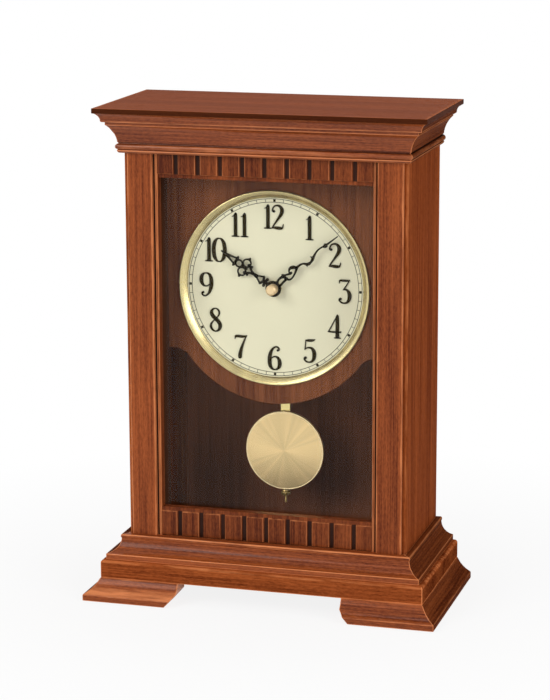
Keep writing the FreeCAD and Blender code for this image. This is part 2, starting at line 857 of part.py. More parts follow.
def toothed(teeth, pitch_radius, x, z, y0, y1, turn):
    """A spur wheel: each tooth is a trapezium from the root to the tip."""
    module = 2 * pitch_radius / teeth
    tip = pitch_radius + tooth_addendum_share * module
    root = pitch_radius - tooth_dedendum_share * module
    half = math.pi / teeth
    points = []
    for index in range(teeth):
        middle = turn + 2 * math.pi * index / teeth
        flank = ((root, -tooth_root_width_share), (tip, -tooth_tip_width_share),
                 (tip, tooth_tip_width_share), (root, tooth_root_width_share))
        for radius, width in flank:
            angle = middle + width * half
            points.append(Vector(x + radius * math.sin(angle), y0, z + radius * math.cos(angle)))
    return Part.Face(Part.makePolygon(points + points[:1])).extrude(Vector(0, y1 - y0, 0))


def pitch_radii(driver, driven):
    return (centre_distance * driver / (driver + driven), centre_distance * driven / (driver + driven))


def minute_arbor():
    """The arbor of the minute hand, with the cannon pinion cut on it."""
    pinion_radius = pitch_radii(cannon_teeth, minute_wheel_teeth)[0]
    turn = math.radians(minute_hand_angle)
    pinion = toothed(cannon_teeth, pinion_radius, 0, dial_centre,
                     minute_wheel_front_y, minute_wheel_back_y, turn)
    arbor = rod_y(minute_arbor_radius, 0, dial_centre, arbor_front_y, minute_wheel_back_y)
    tail = rod_y(minute_arbor_tail_radius, 0, dial_centre, minute_wheel_back_y, movement_back_y)
    return arbor.fuse(pinion).fuse(tail).removeSplitter()


def minute_wheel():
    """The intermediate wheel and its pinion on the setting arbor."""
    wheel_radius = pitch_radii(cannon_teeth, minute_wheel_teeth)[1]
    pinion_radius = pitch_radii(minute_pinion_teeth, hour_wheel_teeth)[0]
    mesh = math.radians(minute_hand_angle) * cannon_teeth / minute_wheel_teeth
    up = math.pi / minute_wheel_teeth
    follow = cannon_teeth * math.pi / minute_wheel_teeth
    turn = up + follow - mesh
    wheel = toothed(minute_wheel_teeth, wheel_radius, 0, setting_height,
                    minute_wheel_front_y, minute_wheel_back_y, turn)
    pinion = toothed(minute_pinion_teeth, pinion_radius, 0, setting_height,
                     hour_wheel_front_y, minute_wheel_front_y, 0)
    knob_end = movement_back_y + set_knob_gap + set_knob_length / 2
    arbor = rod_y(setting_arbor_radius, 0, setting_height, hour_wheel_front_y, knob_end)
    pivot = rod_y(setting_pivot_radius, 0, setting_height,
                  movement_inner_y - setting_pivot_length, hour_wheel_front_y)
    return wheel.fuse(pinion).fuse(arbor).fuse(pivot).removeSplitter()


def hour_wheel():
    """The hour wheel and the tube that carries the hour hand."""
    wheel_radius = pitch_radii(minute_pinion_teeth, hour_wheel_teeth)[1]
    turn = math.pi + math.pi / hour_wheel_teeth
    wheel = toothed(hour_wheel_teeth, wheel_radius, 0, dial_centre,
                    hour_wheel_front_y, hour_wheel_back_y, turn)
    tube = rod_y(hour_tube_radius, 0, dial_centre, hour_hand_front_y, hour_wheel_back_y)
    bore = rod_y(minute_arbor_radius + arbor_clearance, 0, dial_centre,
                 hour_hand_front_y - overrun, hour_wheel_back_y + overrun)
    return wheel.fuse(tube).cut(bore).removeSplitter()


def set_knob():
    """A ribbed knob on the end of the setting arbor."""
    low = movement_back_y + set_knob_gap
    points = []
    for index in range(2 * set_knob_ribs):
        radius = set_knob_radius - (index % 2) * set_knob_rib_height
        angle = math.pi * index / set_knob_ribs
        points.append(Vector(radius * math.sin(angle), low, setting_height + radius * math.cos(angle)))
    knob = Part.Face(Part.makePolygon(points + points[:1])).extrude(Vector(0, set_knob_length, 0))
    bore = rod_y(setting_arbor_radius, 0, setting_height, low - overrun, low + set_knob_length / 2)
    return knob.cut(bore)


def ribbon(length, shares, y0, y1):
    """A strand of a hand: a bar of changing width, given as along, across and half width."""
    spine = [(length * s, length * t, length * w) for s, t, w in shares]
    left, right = [], []
    last = len(spine) - 1
    for index, (s, t, w) in enumerate(spine):
        before, after = spine[max(index - 1, 0)], spine[min(index + 1, last)]
        ds, dt = after[0] - before[0], after[1] - before[1]
        size = math.hypot(ds, dt)
        ns, nt = -dt / size, ds / size
        left.append(Vector(-(t + nt * w), y0, s + ns * w))
        right.append(Vector(-(t - nt * w), y0, s - ns * w))
    points = left + right[::-1]
    return Part.Face(Part.makePolygon(points + points[:1])).extrude(Vector(0, y1 - y0, 0))


def spike(length, shares, y0, y1):
    """A small pointed piece of a hand, given by its corners along and across."""
    points = [Vector(-length * t, y0, length * s) for s, t in shares]
    return Part.Face(Part.makePolygon(points + points[:1])).extrude(Vector(0, y1 - y0, 0))


def ring(length, share, y0, y1):
    """A pierced ring of a hand: its place along and across, outer and inner radius."""
    s, t, outer, inner = [length * value for value in share]
    return rod_y(outer, -t, s, y0, y1).cut(rod_y(inner, -t, s, y0 - overrun, y1 + overrun))


def on_dial(shape, angle):
    """Turns a hand drawn upright at the origin to its hour and sets it at the dial's centre."""
    shape.rotate(Vector(0, 0, 0), Vector(0, 1, 0), angle)
    shape.translate(Vector(0, 0, dial_centre))
    return shape


# Hand outlines as shares of the hand's length: along, across, half width.
minute_upper_eye_shares = ((0.060, 0.020, 0.013), (0.087, 0.031, 0.011), (0.119, 0.042, 0.009),
                           (0.153, 0.045, 0.010), (0.180, 0.038, 0.012), (0.198, 0.020, 0.011),
                           (0.203, 0.002, 0.010))
minute_lower_eye_shares = ((0.060, -0.028, 0.013), (0.088, -0.023, 0.010), (0.134, -0.015, 0.009),
                           (0.176, -0.011, 0.010), (0.206, -0.004, 0.011))
minute_tail_shares = ((0.176, 0.044, 0.011), (0.197, 0.043, 0.011), (0.217, 0.036, 0.008),
                      (0.249, 0.023, 0.008), (0.278, 0.014, 0.011), (0.291, 0.014, 0.010))
minute_curl_shares = ((0.286, 0.013, 0.007), (0.279, 0.030, 0.006), (0.287, 0.047, 0.007),
                      (0.307, 0.059, 0.010), (0.330, 0.059, 0.013), (0.354, 0.046, 0.015),
                      (0.371, 0.030, 0.012), (0.380, 0.016, 0.010))
minute_bow_shares = ((0.196, 0.006, 0.011), (0.207, -0.018, 0.009), (0.225, -0.036, 0.008),
                     (0.250, -0.041, 0.007), (0.286, -0.034, 0.007), (0.327, -0.017, 0.008),
                     (0.359, 0.001, 0.010), (0.380, 0.015, 0.011))
minute_wave_shares = ((0.368, 0.022, 0.010), (0.415, 0.020, 0.010), (0.452, 0.016, 0.008),
                      (0.480, 0.003, 0.008), (0.501, -0.020, 0.011), (0.526, -0.034, 0.013),
                      (0.556, -0.034, 0.010), (0.590, -0.024, 0.012), (0.622, -0.008, 0.011),
                      (0.664, 0.010, 0.008), (0.715, 0.022, 0.007), (0.770, 0.019, 0.007),
                      (0.819, 0.009, 0.009), (0.890, 0.004, 0.007), (1.000, 0.000, 0.004))
minute_spike_shares = (((0.172, 0.040), (0.188, 0.071), (0.206, 0.063), (0.216, 0.034)),
                       ((0.212, -0.026), (0.236, -0.054), (0.250, -0.036)),
                       ((0.484, -0.012), (0.491, -0.052), (0.518, -0.030)),
                       ((0.588, -0.022), (0.594, 0.024), (0.624, -0.006)),
                       ((0.806, 0.010), (0.822, 0.024), (0.842, 0.006), (0.818, -0.014)))
hour_neck_shares = ((0.080, 0.060), (0.125, 0.026), (0.165, 0.030), (0.215, 0.028),
                    (0.215, -0.028), (0.165, -0.030), (0.125, -0.026), (0.080, -0.060))
hour_shield_shares = ((0.190, 0.036), (0.206, 0.066), (0.226, 0.082), (0.246, 0.066), (0.341, 0.014),
                      (0.352, 0.000), (0.341, -0.014), (0.246, -0.066), (0.226, -0.082),
                      (0.206, -0.066), (0.190, -0.036))
hour_eye_shares = ((0.218, 0.000), (0.234, 0.040), (0.288, 0.016), (0.302, 0.000),
                   (0.288, -0.016), (0.234, -0.040))
hour_ear_share = (0.158, 0.056, 0.022, 0.007)
hour_ear_link_shares = ((0.146, 0.060), (0.180, 0.046), (0.196, 0.010), (0.150, 0.010))
hour_branch_shares = ((0.330, 0.006, 0.018), (0.365, 0.002, 0.016), (0.396, 0.006, 0.014),
                      (0.434, 0.020, 0.012), (0.470, 0.044, 0.012), (0.497, 0.072, 0.014))
hour_cusp_shares = ((0.448, 0.034), (0.443, 0.084), (0.454, 0.094), (0.488, 0.080), (0.508, 0.060))
hour_side_ring_share = (0.557, 0.077, 0.073, 0.051)
hour_side_spike_shares = ((0.528, 0.138), (0.540, 0.172), (0.560, 0.182), (0.590, 0.140))
hour_hook_share = (0.508, 0.066, 0.028, 0.009)
hour_middle_ring_share = (0.660, 0.000, 0.064, 0.042)
hour_link_shares = ((0.500, 0.013), (0.612, 0.016), (0.612, -0.016), (0.500, -0.013))
hour_knot_shares = ((0.692, 0.044), (0.712, 0.084), (0.732, 0.092), (0.744, 0.070), (0.748, 0.040))
hour_tip_shares = ((0.700, 0.052), (0.722, 0.064), (0.760, 0.054), (0.850, 0.028), (0.925, 0.010),
                   (1.000, 0.004), (1.000, -0.004), (0.925, -0.010), (0.850, -0.028),
                   (0.760, -0.054), (0.722, -0.064), (0.700, -0.052))
hour_tip_eye_shares = ((0.742, 0.030), (0.760, 0.030), (0.822, 0.010), (0.836, 0.000),
                       (0.822, -0.010), (0.760, -0.030), (0.742, -0.030))


def flipped(shares):
    """The same corners or strand on the other side of the hand."""
    return tuple((share[0], -share[1]) + tuple(share[2:]) for share in shares)


def minute_hand():
    """The serpentine minute hand: an eye, a curled bow, then a wave that runs out to a needle."""
    y0, y1 = minute_hand_front_y, minute_hand_back_y
    hand = rod_y(minute_hub_radius, 0, 0, y0, y1)
    for shares in (minute_upper_eye_shares, minute_lower_eye_shares, minute_tail_shares,
                   minute_curl_shares, minute_bow_shares, minute_wave_shares):
        hand = hand.fuse(ribbon(minute_hand_length, shares, y0, y1))
    for shares in minute_spike_shares:
        hand = hand.fuse(spike(minute_hand_length, shares, y0, y1))
    hand = hand.cut(rod_y(minute_arbor_radius, 0, 0, y0 - overrun, y1 + overrun))
    return on_dial(hand.removeSplitter(), minute_hand_angle)


def hour_hand():
    """The serpentine hour hand: a pierced shield, two branches, three rings and a pierced tip."""
    y0, y1 = hour_hand_front_y, hour_hand_back_y
    length = hour_hand_length
    hand = rod_y(hour_hub_radius, 0, 0, y0, y1)
    shield = spike(length, hour_shield_shares, y0, y1)
    hand = hand.fuse(shield.cut(spike(length, hour_eye_shares, y0 - overrun, y1 + overrun)))
    tip = spike(length, hour_tip_shares, y0, y1)
    hand = hand.fuse(tip.cut(spike(length, hour_tip_eye_shares, y0 - overrun, y1 + overrun)))
    hand = hand.fuse(ring(length, hour_middle_ring_share, y0, y1))
    hand = hand.fuse(spike(length, hour_neck_shares, y0, y1))
    hand = hand.fuse(spike(length, hour_link_shares, y0, y1))
    for shares in (hour_ear_link_shares, hour_cusp_shares, hour_side_spike_shares, hour_knot_shares):
        hand = hand.fuse(spike(length, shares, y0, y1))
        hand = hand.fuse(spike(length, tuple(reversed(flipped(shares))), y0, y1))
    for shares in (hour_branch_shares, flipped(hour_branch_shares)):
        hand = hand.fuse(ribbon(length, shares, y0, y1))
    for share in (hour_ear_share, hour_side_ring_share, hour_hook_share):
        hand = hand.fuse(ring(length, share, y0, y1))
        hand = hand.fuse(ring(length, flipped((share,))[0], y0, y1))
    hand = hand.cut(rod_y(hour_tube_radius, 0, 0, y0 - overrun, y1 + overrun))
    return on_dial(hand.removeSplitter(), hour_hand_angle)


def hand_cap():
    """The turned brass cap that closes the arbor."""
    steps = [
        (0, 0), (cap_radius - cap_bevel, 0), (cap_radius, cap_bevel),
        (cap_radius, cap_length), (0, cap_length),
    ]
    face = outline(steps, lambda r, depth: Vector(r, cap_front_y + depth, dial_centre))
    cap = face.revolve(Vector(0, 0, dial_centre), Vector(0, 1, 0), 360)
    return cap.cut(rod_y(minute_arbor_radius, 0, dial_centre, arbor_front_y, cap_back_y + overrun))


def chime_switch():
    """The slide of the chime selector, standing in its slot on a foot behind the cover."""
    middle = dial_centre + switch_rise
    x0, x1 = -switch_offset - switch_length / 2, -switch_offset + switch_length / 2
    z0, z1 = middle - switch_width / 2, middle + switch_width / 2
    foot_back_y = cover_front_y - switch_slot_clearance
    foot_front_y = foot_back_y - cover_thickness
    lever = box(x0, x1, foot_front_y, movement_back_y + switch_height - cover_thickness, z0, z1)
    foot = box(x0 - switch_foot_margin, x1 + switch_foot_margin, foot_front_y, foot_back_y,
               z0 - switch_foot_margin, z1 + switch_foot_margin)
    return lever.fuse(foot).removeSplitter()


def volume_wheel():
    """The volume wheel on its short shaft."""
    z = dial_centre + volume_rise
    low = movement_back_y + set_knob_gap
    head = rod_y(volume_radius, volume_offset, z, low, low + volume_length)
    pointer = box(volume_offset - volume_shaft_radius / 4, volume_offset + volume_shaft_radius / 4,
                  low + volume_length - hand_thickness, low + volume_length + overrun,
                  z + volume_radius / 3, z + volume_radius)
    shaft = rod_y(volume_shaft_radius, volume_offset, z, cover_front_y - cover_thickness, low)
    return head.cut(pointer).fuse(shaft).removeSplitter()


def pendulum_pin():
    """The stud that the pendulum swings on, with a head that keeps it there."""
    shank = rod_y(pivot_stud_radius, 0, pendulum_pivot_height, cover_front_y, stud_head_y())
    head = rod_y(pivot_stud_head_radius, 0, pendulum_pivot_height,
                 stud_head_y(), stud_head_y() + pivot_stud_head_length)
    return shank.fuse(head).removeSplitter()


def stud_head_y():
    return hanger_back_y + hanger_gap


def pendulum_hanger():
    """The swinging arm: an eye on the stud, and a hook pin at its lower end."""
    eye = rod_y(hanger_eye_radius, 0, pendulum_pivot_height, hanger_front_y, hanger_back_y)
    arm = box(-hanger_width / 2, hanger_width / 2, hanger_front_y, hanger_back_y,
              hook_height, pendulum_pivot_height)
    end = rod_y(hanger_width / 2, 0, hook_height, hanger_front_y, hanger_back_y)
    hook = rod_y(hanger_hook_radius, 0, hook_height, hanger_back_y, hanger_back_y + hanger_hook_length)
    body = eye.fuse(arm).fuse(end).fuse(hook)
    bore = rod_y(pivot_stud_radius + arbor_clearance, 0, pendulum_pivot_height,
                 hanger_front_y - overrun, hanger_back_y + overrun)
    return body.cut(bore).removeSplitter()


def pendulum_rod():
    """The flat rod that hangs on the hook, with the threaded stud at its foot."""
    half = rod_width / 2
    foot = bob_height - rod_foot_reach
    strip = box(-half, half, rod_front_y, rod_back_y, foot, hook_height)
    end = rod_y(half, 0, hook_height, rod_front_y, rod_back_y)
    stud = rod_z(stud_radius, 0, rod_front_y + stud_radius, bob_height - bob_radius - stud_reach,
                 foot + stud_overlap)
    body = strip.fuse(end).fuse(stud)
    bore = rod_y(hanger_hook_radius + rod_hook_clearance, 0, hook_height,
                 rod_front_y - overrun, rod_back_y + overrun)
    return body.cut(bore).removeSplitter()


def pendulum_bob():
    """A domed disc on the front of the rod."""
    rim_front_y = rod_front_y - bob_rim_thickness
    rim = rod_y(bob_radius, 0, bob_height, rim_front_y, rod_front_y)
    sphere_radius = (bob_radius ** 2 + bob_dome_rise ** 2) / (2 * bob_dome_rise)
    sphere_y = rim_front_y - bob_dome_rise + sphere_radius
    sphere = Part.makeSphere(sphere_radius, Vector(0, sphere_y, bob_height))
    blank = rod_y(bob_radius, 0, bob_height, rim_front_y - overrun, rim_front_y)
    return rim.fuse(sphere.common(blank)).removeSplitter()


def rating_nut():
    """The round nut under the bob that sets the rate."""
    top = bob_height - bob_radius
    y = rod_front_y + stud_radius
    third = rating_nut_length / 3
    steps = [
        (stud_radius, 0), (rating_nut_radius - third / 2, 0),
        (rating_nut_radius, third), (rating_nut_radius, 2 * third),
        (rating_nut_radius - third / 2, rating_nut_length),
        (stud_radius, rating_nut_length),
    ]
    face = outline(steps, lambda r, rise: Vector(r, y, top - rating_nut_length + rise))
    return face.revolve(Vector(0, y, 0), Vector(0, 0, 1), 360)


nodes = {
    "top_board": top_board(),
    "crown_front": crown_front(),
    "crown_right": crown_right(),
    "crown_left": mirrored(crown_right()),
    "side_panel_right": side_panel_right(),
    "side_panel_left": mirrored(side_panel_right()),
    "case_ceiling": case_ceiling(),
    "stile_right": stile_right(),
    "stile_left": mirrored(stile_right()),
    "column_right": column_right(),
    "column_left": mirrored(column_right()),
    "rail_top": rail_top(),
    "rail_bottom": rail_bottom(),
    "base_moulding_front": base_moulding_front(),
    "base_moulding_right": base_moulding_right(),
    "base_moulding_left": mirrored(base_moulding_right()),
    "base_board": base_board(),
    "foot_side_right": foot_side_right(),
    "foot_side_left": mirrored(foot_side_right()),
    "foot_front_right": foot_front_right(),
    "foot_front_left": mirrored(foot_front_right()),
    "front_glass": front_glass(),
    "glass_strip_right": glass_strip_right(),
    "glass_strip_left": mirrored(glass_strip_right()),
    "dial_board": dial_board(),
    "dial_plate": dial_plate(),
    "dial_bezel": dial_bezel(),
    "rear_door": rear_door(),
    "door_stop_right": door_stop_right(),
    "door_stop_left": mirrored(door_stop_right()),
    "case_hinge_leaves": case_hinge_leaves(),
    "door_hinge_leaves": door_hinge_leaves(),
    "hinge_pins": hinge_pins(),
    "door_knob": door_knob(),
    "magnet_catch": magnet_catch(),
    "strike_plate": strike_plate(),
    "speaker": speaker(),
    "movement_housing": movement_housing(),
    "movement_cover": movement_cover(),
    "circuit_board": circuit_board(),
    "batteries": batteries(),
    "battery_contacts": battery_contacts(),
    "mounting_washer": mounting_washer(),
    "mounting_nut": mounting_nut(),
    "minute_arbor": minute_arbor(),
    "minute_wheel": minute_wheel(),
    "hour_wheel": hour_wheel(),
    "set_knob": set_knob(),
    "minute_hand": minute_hand(),
    "hour_hand": hour_hand(),
    "hand_cap": hand_cap(),
    "chime_switch": chime_switch(),
    "volume_wheel": volume_wheel(),
    "pendulum_pin": pendulum_pin(),
    "pendulum_hanger": pendulum_hanger(),
    "pendulum_rod": pendulum_rod(),
    "pendulum_bob": pendulum_bob(),
    "rating_nut": rating_nut(),
}

os.makedirs("parts", exist_ok=True)
for name, shape in nodes.items():
    shape.exportStep("parts/" + name + ".step")
    print(name, len(shape.Solids), round(shape.Volume, 2), shape.isValid())
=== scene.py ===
import json
import math
from collections import namedtuple

import bmesh
import bpy
import numpy as np
from bpy.props import FloatProperty, FloatVectorProperty, IntProperty, PointerProperty
from mathutils import Matrix, Vector


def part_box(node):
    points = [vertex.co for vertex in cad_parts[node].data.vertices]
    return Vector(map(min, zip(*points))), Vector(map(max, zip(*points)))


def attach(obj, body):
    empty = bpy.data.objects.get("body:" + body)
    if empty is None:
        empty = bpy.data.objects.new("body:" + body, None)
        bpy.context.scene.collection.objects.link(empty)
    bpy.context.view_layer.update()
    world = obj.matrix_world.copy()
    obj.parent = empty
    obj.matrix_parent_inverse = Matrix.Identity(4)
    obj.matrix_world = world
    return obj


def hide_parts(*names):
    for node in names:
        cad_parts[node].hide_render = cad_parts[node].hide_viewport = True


bl_info = {
    "name": "Desk pendulum clock",
    "version": (1, 0, 0),
    "blender": (4, 5, 0),
    "location": "View3D > Sidebar > Clock",
    "description": "Finishes a desk pendulum clock: stained wood, printed dial, brass, glass and works",
    "category": "Object",
}

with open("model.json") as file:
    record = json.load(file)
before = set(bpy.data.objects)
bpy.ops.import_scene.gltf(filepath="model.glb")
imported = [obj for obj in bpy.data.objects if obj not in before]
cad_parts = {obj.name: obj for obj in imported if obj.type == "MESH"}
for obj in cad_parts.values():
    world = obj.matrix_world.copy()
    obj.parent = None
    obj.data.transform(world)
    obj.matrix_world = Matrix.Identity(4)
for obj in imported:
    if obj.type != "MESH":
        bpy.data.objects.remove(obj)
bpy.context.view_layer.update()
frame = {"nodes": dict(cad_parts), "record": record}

MM = 0.001
Box = namedtuple("Box", "x0 x1 y0 y1 z0 z1")


def edges(node):
    """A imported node's box in millimetres."""
    low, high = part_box(node)
    return Box(*(value / MM for axis in range(3) for value in (low[axis], high[axis])))


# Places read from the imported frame, in millimetres.
HALF_CASE = edges("side_panel_right").x1
BACK = edges("side_panel_right").y1
FRONT = edges("column_right").y0
FRAME_FRONT = edges("column_right").y1
BASE_BOARD_TOP = edges("base_board").z1
LEDGE_TOP = edges("base_moulding_front").z1
CROWN_SOLE = edges("crown_front").z0
DIAL_CENTRE = (edges("dial_plate").z0 + edges("dial_plate").z1) / 2
DIAL_FACE = edges("dial_plate").y0
DIAL_BOARD_FRONT = edges("dial_board").y0
BEZEL_RADIUS = edges("dial_bezel").x1
# The two sides of the clock, and the words for them in the names of nodes and pieces.
SIDES = ((1, "right"), (-1, "left"))


class ClockWoodSettings(bpy.types.PropertyGroup):
    """Stains of the wood, with the painted highlights and shade on its edges and hollows, and how its edges
    are sanded
    """
    light_stain: FloatVectorProperty(
        name="Light stain", description="Colour of the light grain", subtype="COLOR",
        default=(0.382, 0.092, 0.0235), min=0, max=1)
    dark_stain: FloatVectorProperty(
        name="Dark stain", description="Colour of the dark grain", subtype="COLOR",
        default=(0.099, 0.0158, 0.0037), min=0, max=1)
    # The worn edge colour is stain rubbed off an edge, and also a painted highlight along it.
    worn_edge: FloatVectorProperty(
        name="Worn edge", description="Colour where the stain is rubbed off an edge", subtype="COLOR",
        default=(0.720, 0.240, 0.085), min=0, max=1)
    # The hollow colour is stain gathered in hollows and end grain, and also painted shade in hollows, grooves
    # and on faces the light misses.
    hollow: FloatVectorProperty(
        name="Hollow", description="Colour of the stain that gathers in a hollow", subtype="COLOR",
        default=(0.020, 0.0055, 0.0026), min=0, max=1)
    softness: FloatProperty(
        name="Edge softness", description="How far a sanded edge is rounded", subtype="DISTANCE",
        default=0.00026, min=0.0001, max=0.001)
    step: FloatProperty(
        name="Section step", description="Spacing of the points round a section", subtype="DISTANCE",
        default=0.0003, min=0.0001, max=0.002)


class ClockDialSettings(bpy.types.PropertyGroup):
    """Colours and sizes of what is printed on the dial"""
    paint: FloatVectorProperty(
        name="Dial paint", description="Cream of the dial", subtype="COLOR",
        default=(0.912, 0.853, 0.629), min=0, max=1)
    ink: FloatVectorProperty(
        name="Ink", description="Colour of the numerals and the minute track", subtype="COLOR",
        default=(0.024, 0.016, 0.003), min=0, max=1)
    numeral_height: FloatProperty(
        name="Numeral height", description="Height of the numerals", subtype="DISTANCE",
        default=0.0184, min=0.005, max=0.03)
    numeral_circle: FloatProperty(
        name="Numeral circle", description="Radius on which the numerals stand", subtype="DISTANCE",
        default=0.0546, min=0.02, max=0.07)
    track_inner: FloatProperty(
        name="Track, inner line", description="Radius of the inner minute line", subtype="DISTANCE",
        default=0.0658, min=0.03, max=0.07)
    track_outer: FloatProperty(
        name="Track, outer line", description="Radius of the outer minute line", subtype="DISTANCE",
        default=0.0684, min=0.03, max=0.07)


class ClockMetalSettings(bpy.types.PropertyGroup):
    """Colours of the brass, and how finely the bob is turned"""
    brass: FloatVectorProperty(
        name="Brass", description="Colour of the satin brass", subtype="COLOR",
        default=(0.700, 0.570, 0.280), min=0, max=1)
    bob_brass: FloatVectorProperty(
        name="Bob brass", description="Colour of the pendulum bob", subtype="COLOR",
        default=(0.800, 0.590, 0.300), min=0, max=1)
    turns: IntProperty(
        name="Steps in a turn", description="Steps round the turned bob", default=192, min=24, max=512)


class ClockStageSettings(bpy.types.PropertyGroup):
    """The camera and the light round the clock"""
    camera_place: FloatVectorProperty(
        name="Camera place", description="Where the camera stands", subtype="TRANSLATION",
        default=(0.51407, -1.78479, 0.60829))
    camera_aim: FloatVectorProperty(
        name="Camera aim", description="The point in the middle of the view", subtype="TRANSLATION",
        default=(-0.002841, 0.00015, 0.191864))
    camera_roll: FloatProperty(
        name="Camera roll", description="Turn of the camera about its own line of sight", subtype="ANGLE",
        default=math.radians(-0.213))
    lens: FloatProperty(
        name="Lens", description="Focal length for a 36 mm frame", unit="CAMERA",
        default=127.5, min=20, max=300)
    key_light: FloatProperty(
        name="Key light", description="Power of the large lamp at the left", unit="POWER", default=31.0)
    fill_light: FloatProperty(
        name="Fill light", description="Power of the lamp at the right", unit="POWER", default=18.5)
    top_light: FloatProperty(
        name="Top light", description="Power of the lamp overhead", unit="POWER", default=7.5)
    sky_light: FloatProperty(
        name="Sky light", description="Even light from all round", default=0.31)


# Points closer than this are merged, in metres: in a carried section, in a turned piece, and in a
# mesh of many small parts that only lie side by side.
SAME_POINT = 1e-7
SAME_ON_AXIS = 2e-6
SAME_IN_PART = 1e-9
# Points on an arc of a section. Then the width, in edge softnesses, and the gain with which the
# turning of the section becomes the mark of a worn edge, which also paints a highlight, or of a filled
# hollow, which also paints shade, and the least mark that makes an edge.
ARC_POINTS = 40
EDGE_WIDTH, EDGE_GAIN = 1.4, 2.4
HOLLOW_WIDTH, HOLLOW_GAIN = 1.9, 3.0
LEAST_EDGE = 0.04
# Stations near each end of a moulding and of an upright board, in millimetres from the end.
RUN_ENDS = (0.0, 0.18, 0.45, 0.9, 2.2)
BOARD_ENDS = (0.0, 0.2, 0.6, 2.0)
# Wear at the ends of a run, which also paints a highlight along the mitre: its mark, how far it
# reaches in, and the least mark that shows.
END_WORN = 0.9
END_WEAR = 0.5
LEAST_WORN = 0.05


def closed_mesh(name, points, faces, marks=None, angle=32.0, merge=SAME_POINT):
    """A mesh object from points in millimetres: doubles merged, faces turned outwards, sharp edges
    kept. marks gives the edge mark of each point."""
    mesh = bpy.data.meshes.new(name)
    mesh.from_pydata((np.asarray(points) * MM).tolist(), [], faces)
    if marks is not None:
        attribute = mesh.attributes.new("edge_mark", "FLOAT", "POINT")
        attribute.data.foreach_set("value", np.asarray(marks, np.float32).ravel())
    work = bmesh.new()
    work.from_mesh(mesh)
    bmesh.ops.remove_doubles(work, verts=work.verts, dist=merge)
    bmesh.ops.recalc_face_normals(work, faces=work.faces)
    work.to_mesh(mesh)
    work.free()
    mesh.shade_smooth()
    mesh.set_sharp_from_angle(angle=math.radians(angle))
    piece = bpy.data.objects.new(name, mesh)
    bpy.context.scene.collection.objects.link(piece)
    return piece


def grid(x, y, z):
    """Points from their places along X, Y and Z, which may be rows, columns or single numbers."""
    return np.stack(np.broadcast_arrays(x, y, z), -1)


def lofted(loops, caps=True):
    """Points and faces of a closed loop carried through stations; loops has the shape stations,
    points, 3."""
    rows, columns = loops.shape[:2]
    index = np.arange(rows * columns).reshape(rows, columns)
    ahead = np.roll(index, -1, 1)
    quads = np.stack([index[:-1], ahead[:-1], ahead[1:], index[1:]], -1).reshape(-1, 4).tolist()
    if caps:
        quads += [index[0][::-1].tolist(), index[-1].tolist()]
    return loops.reshape(-1, 3), quads


def joined(parts):
    """Several points-and-faces pairs as one pair."""
    points, faces, start = [], [], 0
    for own_points, own_faces in parts:
        points.append(own_points)
        faces += [[corner + start for corner in face] for face in own_faces]
        start += len(own_points)
    return np.concatenate(points), faces


def dressed(piece, body, slot, material, *nodes):
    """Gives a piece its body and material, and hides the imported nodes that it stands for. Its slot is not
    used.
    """
    piece.data.materials.clear()
    piece.data.materials.append(material)
    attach(piece, body)
    if nodes:
        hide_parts(*nodes)
    return piece


def in_wood(piece, finish, *nodes):
    """A wooden piece of the case in one of the wood finishes."""
    return dressed(piece, "case", "case_wood", finishes[finish], *nodes)


def arc_through(start, middle, end, count):
    """Points on the circle through three points, from the first to the last."""
    (ax, ay), (bx, by), (cx, cy) = start, middle, end
    d = 2 * (ax * (by - cy) + bx * (cy - ay) + cx * (ay - by))
    a, b, c = ax**2 + ay**2, bx**2 + by**2, cx**2 + cy**2
    ux = (a * (by - cy) + b * (cy - ay) + c * (ay - by)) / d
    uy = (a * (cx - bx) + b * (ax - cx) + c * (bx - ax)) / d
    first, mid, last = (math.atan2(y - uy, x - ux) for x, y in (start, middle, end))
    turn = (last - first) % (2 * math.pi)
    if (mid - first) % (2 * math.pi) > turn:
        turn -= 2 * math.pi
    angle = first + turn * np.linspace(0, 1, count)
    radius = math.hypot(ax - ux, ay - uy)
    return np.stack([ux + radius * np.cos(angle), uy + radius * np.sin(angle)], -1)


def closed_even(corners, count=None, spacing=None):
    """Points round a closed outline, evenly spaced from its first corner, and its length. They are
    given by their count or by their spacing."""
    ring = np.concatenate([corners, corners[:1]])
    reach = np.concatenate([[0], np.cumsum(np.linalg.norm(np.diff(ring, axis=0), axis=1))])
    even = np.linspace(0, reach[-1], count or int(reach[-1] / spacing), endpoint=False)
    return np.stack([np.interp(even, reach, ring[:, axis]) for axis in range(2)], -1), reach[-1]


